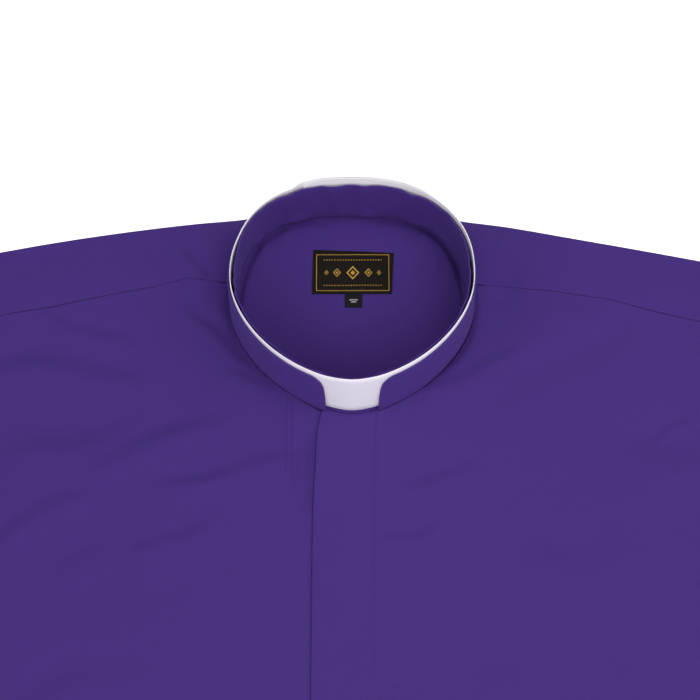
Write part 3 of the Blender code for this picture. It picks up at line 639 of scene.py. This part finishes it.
def finishPiece(piece, material, node):
    piece.data.materials.append(material)
    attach(piece, "root")
    if node:
        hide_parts(node)
    print("made", piece.name, len(piece.data.polygons), "faces")


# The body's cloth

bodyFolds = {
    # x0, y0, x1, y1, bow, half width, height: the cloth steps down to the left side of the line
    "steps": (
        (-207, -98, -116, -111, 8, 9, 1.9), (-182, -62, -124, -84, -2, 5.5, 1.3),
        (-156, -160, -62, -128, 1, 7.5, 1.7), (-205, -151, -118, -131, 0, 13, 2.0),
        (-116, -172, -28, -156, 1, 6.5, 1.9), (-207, -202, -146, -168, 1, 8, 1.5),
        (-124, -208, -76, -191, 0, 6, 1.2), (-180, -214, -140, -212, 0, 12, 1.3),
        (-98, -58, -60, -100, -1, 5, 1.7), (-74, -104, -40, -116, -1, 4.5, 1.0),
        (44, -117, 94, -92, 0, 5.5, 1.3), (60, -127, 150, -72, 2, 10, -2.1),
        (105, -80, 160, -64, 0, 10, -1.5), (22, -175, 72, -162, 1, 6.5, 1.5),
        (36, -142, 39, -121, 0, 3, 0.5), (14, -204, 48, -196, 0, 4.5, 1.1),
        (160, -150, 205, -158, 0, 12, 1.1), (172, -141, 191, -128, 0, 3.5, 0.8),
        (92, -216, 150, -205, 0, 14, 1.7), (-101, -22, -84, -41, 0, 4.5, 1.3),
        (-80, -15, -72, -22, 0, 4, 0.8), (-132, -14, -110, -40, 0, 6, 0.8),
        (78, -18, 95, -13, 0, 4, 0.9),
        # past the photo's edge: further down the body, and on the sleeves
        (-190, -300, -112, -272, 5, 12, 1.9), (-96, -352, -36, -338, 2, 9, 1.4),
        (48, -318, 140, -292, -4, 11, 1.7), (128, -404, 212, -380, 3, 13, 1.9),
        (-206, -448, -126, -432, -4, 13, 1.8), (22, -452, 86, -462, 2, 9, 1.3),
        (-118, -540, -48, -520, 4, 11, 1.6), (86, -566, 176, -540, -3, 13, 1.8),
        (-196, -610, -140, -618, 0, 10, 1.3), (-268, -118, -330, -196, 5, 12, 1.9),
        (-356, -104, -398, -172, -3, 10, 1.5), (286, -142, 352, -206, -4, 12, 1.8),
        (338, -96, 404, -150, 4, 10, 1.6),
    ),
    "ridges": (
        (92, -28, 89, -62, 0, 8, -0.8),
        (-108, -27, -96, -37, 0, 5, 0.6),
        (-79, -60, -62, -88, 1, 5, 0.8),
        (-28, -139, -27, -187, 0, 4.5, -1.7),
        (-150, -215, -128, -204, 0, 8, 0.7),
    ),
    "strength": 1.45,  # every fold is this many times as high as its row says
    "broad": 0.8,  # how far the cloth wanders up and down between the folds
    "broadScale": 72.0, "broadStretch": 0.8,
    "small": 0.12, "smallScale": 17.0,
    "clearOfCollar": 5.0,
    "ditches": (
        # the cloth turns down where it is sewn to the collar: angle, half width, depth and reach
        (-60, 40, 1.5, 2.6),
        (-108, 30, 4.6, 4.0),
        (60, 40, 1.3, 2.2),
        (110, 30, 4.3, 2.6),
        (180, 30, 0.1, 2.0),
    ),
    "lip": (0.35, 0.5),  # share by which a ditch is shallower right at the collar, and its reach
    "lowest": 1.6,  # no fold pushes the cloth under this height
    "wall": 1.15,
}


def wrinkle(piece):
    points, normals = pointsOf(piece), pointNormals(piece)
    x, y = flatPlace(points)
    angle, radius, _ = ringPlace(points)
    beyond = beyondCollar(angle, radius)
    lift = foldSum(x, y, bodyFolds["steps"], slanted=True) + foldSum(x, y, bodyFolds["ridges"])
    stretched = y * bodyFolds["broadStretch"]
    lift += bodyFolds["broad"] * unevenness(x, stretched, bodyFolds["broadScale"], seed=3.1)
    lift += bodyFolds["small"] * unevenness(x, y, bodyFolds["smallScale"], seed=8.7)
    lift *= bodyFolds["strength"] * (1 - np.exp(-beyond / bodyFolds["clearOfCollar"]))
    shallower, lipReach = bodyFolds["lip"]
    lip = 1 - shallower * np.exp(-beyond / lipReach)
    for side, spread, depth, reach in bodyFolds["ditches"]:
        aside = np.abs((angle - side + 180.0) % 360.0 - 180.0)
        lift -= depth * bell(aside, 0.0, spread) * np.exp(-beyond / reach) * lip
    upper = (normals[:, 2] > 0.0) * bodyFolds["wall"]
    room = np.maximum(points[:, 2] / mm - bodyFolds["lowest"] - upper, 0.0)
    return np.maximum(lift, -room) * mm


def upperShare(points):
    # 0 on the wall that lies on the table, 1 on the wall above it
    return ease(points[:, 2] / mm, 1.5, 0.9)


yokeSeam = {
    # how far the seam to the yoke swings towards the hem beside the collar: x, shift
    "right": (
        (-150, 0.0), (-125, -1.5), (-115, -2.6), (-105, -2.0),
        (-95, -1.1), (-85, -3.4), (-75, -5.3), (-60, -5.3),
    ),
    "left": ((60, -5.8), (75, -5.8), (98, -3.8), (115, -1.7), (135, -1.2), (150, 0.0)),
    "centre": -42.0, "reach": 17.0,
    "hold": 9.0,  # so near to the collar the cloth keeps its distance from the collar's axis
}


def swingSeam(points):
    # Slides the cloth round the collar's foot, so that the seam meets it further forward.
    x, y = flatPlace(points)
    shift = valueAt(x, yokeSeam["right"] + yokeSeam["left"]) * bell(y, yokeSeam["centre"], yokeSeam["reach"])
    _, before, _ = ringPlace(points)
    moved = points + np.outer(shift * mm, (0.0, 1.0, 0.0))
    angle, radius, height = ringPlace(moved)
    hold = np.exp(-np.maximum(before / mm - neckRing["halfWidth"], 0.0) / yokeSeam["hold"])
    return ringPoints(angle, radius + (before - radius) * hold, height)


def edgeAcross(piece, axis, side, step=4.0):
    # The piece's edge on one side: for each step along the other axis, its furthest point.
    flat = flatPlace(pointsOf(piece))
    way, across = flat[1 - axis], flat[axis]
    places, edge = [], []
    for place in np.arange(way.min(), way.max(), step):
        near = np.abs(way - place) < step * 0.75
        if near.any():
            places.append(place)
            edge.append(across[near].max() if side > 0 else across[near].min())
    return np.array(places), np.array(edge)


pleats = {
    "x": (-37.2, -34.0), "y": (-163.0, -126.0),
    "endsFade": 3.0,  # past its ends a pleat fades this many times faster than to its sides
}

placket = {
    # from the folded edge to the row of stitches that holds the placket: at y, this far
    "stitchIn": ((-186.0, 34.4), (-134.0, 32.4)),
    "secondRow": 2.6,  # a fainter row, this much nearer to the edge
    "from": -134.0, "top": -129.0,
    "edgeThinner": 0.7,  # the folded edge is rounder than the solid's
    "edgeReach": 1.5,
    "edgeLift": (-21.5, -138.0, -22.5, -186.0, 0, 5, 1.5),  # the edge stands off the shirt a little here
}

frontEdges = {
    # the seam to the yoke closes up, on both sides of the collar: how far, its reach, the least x and y
    "seamRise": 0.45, "seamReach": 2.5, "seamFrom": (76.0, -100.0),
    # round the collar's front the cloth is pulled in to it: from this angle, and full this much further
    "pull": 0.35,
    "pullFrom": (115.0, 30.0), "pullReach": 4.0,
    # and under the white tab it rises to it
    "tabRise": 0.9, "tabHalf": 15.0, "tabReach": 2.5,
}


def makeFronts(materials):
    cut = {
        "front_right": {"flat": (0.320, 0.740), "area": 0.204, "shown": (-215.0, -12.0)},
        "front_left": {"flat": (0.345, 0.740), "area": 0.222, "shown": (-30.0, 215.0)},
    }
    shownY = (-240.0, -36.0)
    made = {}
    for node, size in cut.items():
        piece = clothCopy(node, node + "_cloth")
        refine(piece, upperFaces(piece, *zip(size["shown"], shownY)))
        lift = wrinkle(piece)
        points = pointsOf(piece)
        x, y = flatPlace(points)

        places, seam = edgeAcross(piece, 1, 1, 3.0)
        toSeam = np.maximum(np.interp(x, places, seam) - y, 0.0)
        beside = (np.abs(x) > frontEdges["seamFrom"][0]) & (y > frontEdges["seamFrom"][1])
        points[:, 1] += bell(toSeam, 0.0, frontEdges["seamReach"]) * beside * frontEdges["seamRise"] * mm
        points = swingSeam(points)
        angle, radius, height = ringPlace(points)
        beyond = beyondCollar(angle, radius)
        toCollar = ease(np.abs(angle), *frontEdges["pullFrom"]) * bell(beyond, 0.0, frontEdges["pullReach"])
        underTab = bell(np.abs(angle), 180.0, frontEdges["tabHalf"]) * np.exp(-beyond / frontEdges["tabReach"])
        radius -= frontEdges["pull"] * mm * toCollar
        height += frontEdges["tabRise"] * mm * underTab
        points = ringPoints(angle, radius, height)
        if node == "front_left":
            lift += foldSum(x, y, (placket["edgeLift"],)) * mm
            places, edge = edgeAcross(piece, 0, -1)
            fromEdge = np.maximum(x - np.interp(y, places, edge), 0.0)
            upper = pointNormals(piece)[:, 2] > 0.0
            lift -= placket["edgeThinner"] * np.exp(-fromEdge / placket["edgeReach"]) * upper * mm
        points[:, 2] += lift
        setPoints(piece, points)
        if node == "front_left":
            places, edge = edgeAcross(piece, 0, -1)
            upTo = places < placket["from"]
            made["placketEdge"] = (places[upTo], edge[upTo])
            line = np.interp(y, *made["placketEdge"]) + valueAt(y, placket["stitchIn"])
            beyondTop = np.maximum(y - placket["top"], 0.0)
            storeOffset(piece, "placketSeam", np.hypot(x - line, beyondTop))
        else:
            # the two fine pleats are drawn in the material: a bump, and painted shade along each
            pastEnd = np.maximum(np.maximum(pleats["y"][0] - y, y - pleats["y"][1]), 0.0)
            for number, place in enumerate(pleats["x"]):
                aside = np.hypot(x - place, pleats["endsFade"] * pastEnd)
                storeOffset(piece, "pleat%d" % number, np.where(x < place, -aside, aside))
        finishPiece(piece, materials[node], node)
        made[node] = piece
    return made


def makeYoke(material):
    floorPuckers = {
        # the cloth inside the collar rises beside the neck seam: angle from the back, half width, height
        "rises": ((50, 30, 2.8), (-58, 30, 2.6), (24, 5, 0.9), (-24, 5, 1.1), (0, 9, 0.4)),
        "rows": ((-50, 4, 1.2), (-35, 3.5, 1.6), (-10, 4, 1.1), (13, 4, 1.2), (37, 4.5, 1.9), (59, 5, 1.6)),
        # the seam's distance from the collar's axis, by angle
        "seam": ((0, 66.6), (15, 67.7), (30, 71.5), (45, 73.8), (60, 70.7), (75, 67.5), (90, 66), (105, 63.7)),
        "from": -0.6,  # how far inwards from the seam a rise starts, and where its top lies
        "top": 3.0, "fall": 13.0,
        "slant": 0.2,  # degrees that a pucker turns, and widens, with each mm inwards
        "widens": 0.12,
        "within": 76.0,  # the floor inside the collar lies this near to its axis, and this low
        "floorTop": 1.6,
    }
    piece = clothCopy("yoke", "yoke_cloth")
    refine(piece, upperFaces(piece, (-215.0, -90.0), (215.0, 10.0)))
    points, normals = pointsOf(piece), pointNormals(piece)
    upper = upperShare(points)
    points += (swingSeam(points) - points) * upper[:, None]
    lift = wrinkle(piece) * upper
    angle, radius, _ = ringPlace(points)
    floor = (radius / mm < floorPuckers["within"]) & (points[:, 2] / mm < floorPuckers["floorTop"])
    floor &= normals[:, 2] > 0.5
    inward = valueAt(np.abs(angle), floorPuckers["seam"]) - radius / mm
    rise = ease(inward, floorPuckers["from"], floorPuckers["top"] - floorPuckers["from"])
    rise *= bell(np.maximum(inward - floorPuckers["top"], 0.0), 0.0, floorPuckers["fall"])
    for place, reach, height in floorPuckers["rises"] + floorPuckers["rows"]:
        reach = reach + floorPuckers["widens"] * np.maximum(inward, 0.0)
        spread = bell(angle, place + floorPuckers["slant"] * inward, reach)
        lift += floor * height * spread * rise * mm
    points[:, 2] += lift
    setPoints(piece, points)
    finishPiece(piece, material, "yoke")


def makeBack(material):
    toYoke = {"moves": 0.29, "within": 1.0}  # its top edge meets the yoke
    piece = clothCopy("back", "back_cloth")
    points = pointsOf(piece)
    edge = points[:, 1] > points[:, 1].max() - toYoke["within"] * mm
    points[:, 1] += toYoke["moves"] * mm * edge
    setPoints(piece, points)
    finishPiece(piece, material, "back")


def makeSleeves(materials):
    # the armhole seam closes up: the rim that faces the body moves out
    rim = {"moves": 0.7, "steepness": 0.35, "facing": 0.45}
    made = {}
    for node, side in (("sleeve_right", -1), ("sleeve_left", 1)):
        piece = clothCopy(node, node + "_cloth")
        points = pointsOf(piece)
        points[:, 2] += wrinkle(piece) * upperShare(points)
        flat = pointNormals(piece)[:, :2]
        reach = np.maximum(np.hypot(*flat.T), 1e-6)
        onRim = (reach > rim["steepness"]) & (-side * flat[:, 0] / reach > rim["facing"])
        points[:, :2] += rim["moves"] * mm * flat / reach[:, None] * onRim[:, None]
        setPoints(piece, points)
        finishPiece(piece, materials[node], node)
        made[node] = piece
    return made


# The collar: angles are degrees from the middle of the back, towards the wearer's left

def startCollar(node, name):
    piece = clothCopy(node, name)
    return piece, outwardShare(piece), *ringPlace(pointsOf(piece))


def makeCollarOuter(material):
    outer = {
        "thinner": (0.4, 0.1),  # all round, and this much more towards the back
        "thinUpTo": (95.0, -15.0),
        "thinAbove": (4.0, 9.0),
        "sideDrop": 1.3, "sides": (58.0, 17.0), "dropAbove": (22.0, 8.0),
        "leans": ((-52, 20, 0.8), (70, 22, 0.4)),  # its top leans in: angle, half width, how far
        # its top corners fall away to the white tab: degrees from the front, how far, how round
        "corners": (12.5, 20.5, 5.2, 1.5),
        "cornerAbove": (12.0, 10.0),
        "underTab": (14.5, 11.5, 0.28),  # its strip below the tab: from, full, and its height's share
        "stripTop": 4.5,
    }
    piece, out, angle, radius, height = startCollar("collar_outer", "collar_outer_cloth")
    high = ease(height / mm, *outer["thinAbove"])
    allRound, moreBehind = outer["thinner"]
    thinner = allRound + moreBehind * ease(np.abs(angle), *outer["thinUpTo"])
    radius -= thinner * mm * np.maximum(out, 0.0) * high
    for place, reach, lean in outer["leans"]:
        radius -= lean * mm * bell(angle, place, reach) * high
    sides = bell(np.abs(angle), *outer["sides"])
    height -= outer["sideDrop"] * mm * sides * ease(height / mm, *outer["dropAbove"])
    fromFront = 180.0 - np.abs(angle)
    full, gone, drop, power = outer["corners"]
    fall = np.clip((gone - fromFront) / (gone - full), 0.0, 1.0) ** power
    height -= drop * mm * fall * ease(height / mm, *outer["cornerAbove"])
    gone, full, share = outer["underTab"]
    below = ease(fromFront, gone, full - gone) * (height / mm < outer["stripTop"])
    height *= 1.0 - (1.0 - share) * below
    setPoints(piece, ringPoints(angle, radius, height))
    finishPiece(piece, material, "collar_outer")


def makeCollarBand(material):
    band = {
        # angle, half width, how far the cloth bulges inwards: at its top and at its foot
        "bulges": ((-31, 4.6, 0.8), (-10, 4.2, 1.0), (6.5, 4.0, 1.0), (29, 5.5, 1.2), (47, 4.0, 0.4)),
        "footBulges": (
            (-48, 4.0, 0.7), (-27, 4.5, 1.4), (7, 5.0, 1.0), (31, 4.5, 0.9), (51, 5.0, 1.0), (68, 6.0, 0.8),
        ),
        "top": (5.0, 22.0), "foot": (10.0, -8.0), "clearOfSeam": (1.5, 8.0),
        "topDrop": 0.35,  # share of a bulge by which the top edge sinks there
        "edge": (20.0, 12.0),
        # here the band leans out towards the insert: angle, half width, how far
        "leans": ((-58, 20, 0.7), (-92, 20, 0.5), (62, 20, 0.9), (92, 22, 0.5)),
        "creases": 0.8, "creaseScale": 4.6, "creaseStretch": 0.22,
        "inwards": 0.4,  # share of the creases' height by which the whole band stands further in
        "thinner": 0.35,
    }
    piece, out, angle, radius, height = startCollar("collar_band", "collar_band_cloth")
    middle = ease(height / mm, *band["clearOfSeam"])
    bulge = sum(inward * bell(angle, place, reach) for place, reach, inward in band["bulges"])
    footBulge = sum(inward * bell(angle, place, reach) for place, reach, inward in band["footBulges"])
    crease = unevenness(angle, height / mm * band["creaseStretch"], band["creaseScale"], seed=1.7)
    inward = bulge * ease(height / mm, *band["top"]) + footBulge * ease(height / mm, *band["foot"])
    crease = crease * band["creases"] + band["creases"] * band["inwards"]
    radius -= (inward + crease * middle) * mm
    radius += band["thinner"] * mm * np.maximum(-out, 0.0) * middle
    for place, reach, lean in band["leans"]:
        radius += lean * mm * bell(angle, place, reach) * middle
    height -= band["topDrop"] * bulge * ease(height / mm, *band["edge"]) * mm
    setPoints(piece, ringPoints(angle, radius, height))
    finishPiece(piece, material, "collar_band")


def innerLayer(angle, radius, height, first, last, above):
    # Where the insert's ends overlap, tells the inner layer's points from the outer layer's.
    inner = angle > last
    for start in np.arange(first, last, 1.0):
        here = (angle >= start) & (angle < start + 1.0)
        near = (np.abs(angle - start - 0.5) < 1.5) & (height / mm > above)
        if near.any():
            inner |= here & (radius < (radius[near].min() + radius[near].max()) / 2)
    return inner


def makeCollarInsert(plastic):
    insert = {
        "thinner": 0.45,
        "back": (-27.0, -18.0, 2.0, 40.0),  # from, full, full, to: where the strip stands higher and flares
        "backRise": 1.0, "backFlare": 0.3, "flareAbove": (30.0, 6.0),
        "left": (-84.0, -62.0, -30.0, -24.0),  # here it stands lower and further in
        "leftDrop": 1.5, "leftIn": 1.1,
        "right": (46.0, 60.0, 70.0, 96.0),  # here it leans out
        "rightOut": 0.2,
        "top": (22.0, 14.0),
        "overlap": (-25.0, 42.0, 26.0),  # from, to, and above this height
        # its two ends overlap at the back, each with a round corner: end, where it is straight, corner
        "innerEnd": (-24.6, -13.0, 4.6), "outerEnd": (42.2, 18.0, 3.0),
    }
    piece, out, angle, radius, height = startCollar("collar_insert", "collar_insert_strip")
    radius += insert["thinner"] * mm * np.maximum(-out, 0.0)
    atBack, atLeft, atRight = (plateau(angle, *insert[side]) for side in ("back", "left", "right"))
    top = ease(height / mm, *insert["top"])
    inner = innerLayer(angle, radius, height, *insert["overlap"])
    radius += insert["backFlare"] * mm * atBack * ease(height / mm, *insert["flareAbove"])
    radius -= insert["leftIn"] * mm * atLeft * top
    radius += insert["rightOut"] * mm * atRight
    height -= insert["leftDrop"] * mm * atLeft * top
    height += insert["backRise"] * mm * atBack * top
    for layer, (end, straight, corner) in ((inner, insert["innerEnd"]), (~inner, insert["outerEnd"])):
        share = np.clip((angle - straight) / (end - straight), 0.0, 1.0) * layer
        height -= corner * mm * (1.0 - np.sqrt(1.0 - share**2)) * top
    setPoints(piece, ringPoints(angle, radius, height))
    finishPiece(piece, plastic, "collar_insert")


# Label and size tab

def makeLabels(labelMaterial, tabMaterial):
    labels = {
        # the grid's columns and rows, the curl, and how far each corner lies off the plain oblong
        "neck_label": {
            "name": "woven_label", "grid": (30, 18), "material": labelMaterial, "curl": 0.25,
            "corners": ((-0.5, 0.0), (-0.4, 0.0), (0.0, 1.2), (0.9, -0.8)),
        },
        "size_tab": {
            "name": "size_tab_cloth", "grid": (10, 8), "material": tabMaterial, "curl": 0.10,
            "corners": ((0.2, 0.0), (-0.2, 0.1), (0.0, 0.0), (0.0, 0.0)),
        },
    }
    woven = {"wall": 0.45, "gap": 0.12, "curlScale": 11.0, "lowestCurl": -0.1, "rounding": 0.12}
    for node, label in labels.items():
        low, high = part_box(node)
        size = high - low
        bpy.ops.object.select_all(action="DESELECT")
        columns, rows = label["grid"]
        bpy.ops.mesh.primitive_grid_add(size=1.0, x_subdivisions=columns, y_subdivisions=rows)
        piece = bpy.context.object
        piece.name = label["name"]
        points = pointsOf(piece)
        right, up = points[:, 0] + 0.5, points[:, 1] + 0.5
        flat = np.stack([low.x + right * size.x, low.y + up * size.y], axis=1)
        shares = ((1 - right) * (1 - up), right * (1 - up), (1 - right) * up, right * up)
        for share, corner in zip(shares, np.array(label["corners"]) * mm):
            flat += share[:, None] * corner
        curl = unevenness(flat[:, 0] / mm, flat[:, 1] / mm, woven["curlScale"], seed=5.3) * label["curl"]
        level = low.z / mm + woven["wall"] + woven["gap"] + np.maximum(curl, woven["lowestCurl"])
        setPoints(piece, np.column_stack([flat, level * mm]))
        applyModifier(piece, "SOLIDIFY", thickness=woven["wall"] * mm, offset=-1.0)
        rim = {"limit_method": "ANGLE", "angle_limit": math.radians(60)}
        applyModifier(piece, "BEVEL", width=woven["rounding"] * mm, segments=2, **rim)
        shadeSmooth(piece, 40.0)
        finishPiece(piece, label["material"], node)


# Rows of stitches

stitch = {
    "length": 2.1,
    "straight": 0.55,  # shares of the length: between the two ends, and each end
    "end": 0.225,
    "dip": 0.16,  # how far the ends go down into the cloth
    "taper": 0.45, "pitch": 2.9, "radius": 0.17, "lift": 0.05,
}


def makeOneStitch():
    # A short thread along x whose ends taper and dip into the cloth.
    bpy.ops.object.select_all(action="DESELECT")
    body = stitch["length"] * stitch["straight"] * mm
    turn = (0.0, math.radians(90.0), 0.0)
    bpy.ops.mesh.primitive_cylinder_add(vertices=6, radius=stitch["radius"] * mm, depth=body, rotation=turn)
    one = bpy.context.object
    bpy.ops.object.transform_apply(location=False, rotation=True, scale=False)
    for side in (-1, 1):
        editFaces(one, [face.normal.x * side > 0.9 for face in one.data.polygons])
        reach = stitch["length"] * stitch["end"] * mm
        move = (side * reach, 0.0, -stitch["dip"] * mm)
        bpy.ops.mesh.extrude_region_move(TRANSFORM_OT_translate={"value": move})
        end = (side * (body / 2 + reach), 0.0, -stitch["dip"] * mm)
        bpy.ops.transform.resize(value=(1.0, stitch["taper"], stitch["taper"]), center_override=end)
        bpy.ops.object.mode_set(mode="OBJECT")
    points = pointsOf(one)
    faces = [tuple(face.vertices) for face in one.data.polygons]
    bpy.data.objects.remove(one)
    return points, faces


def sewRows(name, onto, paths, material):
    # Copies the one stitch along each path, laid on the finished cloth below it.
    tree = BVHTree.FromPolygons(
        [vertex.co for vertex in onto.data.vertices], [tuple(face.vertices) for face in onto.data.polygons]
    )
    onePoints, oneFaces = makeOneStitch()
    points, faces = [], []
    for path in paths:
        path = np.array(path, float)
        steps = np.hypot(*np.diff(path, axis=0).T)
        lengths = np.concatenate([[0.0], np.cumsum(steps)])
        for at in np.arange(stitch["pitch"] / 2, lengths[-1], stitch["pitch"]):
            x, ahead = (np.interp(at + extra, lengths, path[:, 0]) for extra in (0.0, 0.5))
            y, aheadY = (np.interp(at + extra, lengths, path[:, 1]) for extra in (0.0, 0.5))
            hit, normal, _, _ = tree.ray_cast(Vector((x * mm, neckY + y * mm, 0.1)), Vector((0.0, 0.0, -1.0)))
            if hit is None:
                continue
            way = Vector((ahead - x, aheadY - y, 0.0)).normalized()
            way = (way - normal * way.dot(normal)).normalized()
            turned = np.array((way, normal.cross(way), normal))
            base = len(points) * len(onePoints)
            points.append(onePoints @ turned + np.array(hit + normal * stitch["lift"] * mm))
            faces += [tuple(base + corner for corner in face) for face in oneFaces]
    mesh = bpy.data.meshes.new(name)
    mesh.from_pydata(np.concatenate(points).tolist(), [], faces)
    piece = addObject(name, mesh)
    shadeSmooth(piece, 60.0)
    finishPiece(piece, material, None)


def sewPlacket(fronts, material):
    y, edge = fronts["placketEdge"]
    y, edge = np.append(y, placket["top"])[::-1], np.append(edge, edge[-1])[::-1]
    x = edge + valueAt(y, placket["stitchIn"])
    rows = [list(zip(x - off, y)) for off in (0.0, placket["secondRow"])]
    sewRows("placket_stitches", fronts["front_left"], rows, material)


def sewHems(fronts, sleeves, material):
    hems = {
        "bodyIn": 6.5,
        "steepest": 1.2,  # the row leaves out the hem's steep ends
        "sleeveIn": 19.0, "sleeveEnds": 3.0,
    }
    for node in ("front_right", "front_left"):
        places, edge = edgeAcross(fronts[node], 1, -1, 6.0)
        slope = np.gradient(edge, places)
        size = np.hypot(1.0, slope)
        x = places - slope / size * hems["bodyIn"]
        y = edge + hems["bodyIn"] / size
        inner = (np.abs(slope) < hems["steepest"]) & (np.abs(x) < np.abs(places).max() - hems["bodyIn"])
        row = list(zip(x[inner], y[inner]))
        sewRows(node + "_hem_stitches", fronts[node], [row], material)
    for node, piece in sleeves.items():
        side = 1 if node == "sleeve_left" else -1
        flat = np.stack(flatPlace(pointsOf(piece)), axis=1)
        over = flat[np.argmax(flat[:, 0] * side)]
        under = flat[np.argmin(flat[:, 1])]
        way = (under - over) / np.hypot(*(under - over))
        inward = np.array((-side * abs(way[1]), abs(way[0]))) * hems["sleeveIn"]
        short = way * hems["sleeveEnds"]
        row = [over + inward + short, under + inward - short]
        sewRows(node + "_hem_stitches", piece, [row], material)


setCamera()
setStage()
# painted light: the collar and the band are painted this many times as light as the body, for the light that
# falls short on their steep walls
cloths = {"body": (0.0465, 0.0202, 0.1546), "collar": 1.3, "band": 1.28, "thread": 1.15, "sleeveTurn": 27.0}
purple = cloths["body"]  # the collar, the band and the thread are this many times as light
purpleCloth = makeBroadcloth("purpleBroadcloth", purple)
placketCloth = makeBroadcloth("purpleBroadclothPlacket", purple, seams=("placketSeam",))
pleatCloth = makeBroadcloth("purpleBroadclothPleats", purple, seams=("pleat0", "pleat1"))
sleeveTurn = math.radians(cloths["sleeveTurn"])
sleeveCloth = {
    "sleeve_right": makeBroadcloth("purpleBroadclothRightSleeve", purple, -sleeveTurn),
    "sleeve_left": makeBroadcloth("purpleBroadclothLeftSleeve", purple, sleeveTurn),
}
# the collar's and the band's cloth, painted lighter as painted light
collarClothPaintedLighter = makeBroadcloth("purpleBroadclothCollarPaintedLighter", shade(purple, cloths["collar"]), aroundCollar=True)
bandClothPaintedLighter = makeBroadcloth("purpleBroadclothBandPaintedLighter", shade(purple, cloths["band"]), aroundCollar=True)
thread = makeThread("purpleThread", shade(purple, cloths["thread"]))
insertPlastic = makeInsertPlastic()
print("materials made")
makeBack(purpleCloth)
makeYoke(purpleCloth)
fronts = makeFronts({"front_left": placketCloth, "front_right": pleatCloth})
sleeves = makeSleeves(sleeveCloth)
makeCollarOuter(collarClothPaintedLighter)
makeCollarBand(bandClothPaintedLighter)
makeCollarInsert(insertPlastic)
makeLabels(makeLabelWeave(), makeTabWeave())
sewPlacket(fronts, thread)
sewHems(fronts, sleeves, thread)
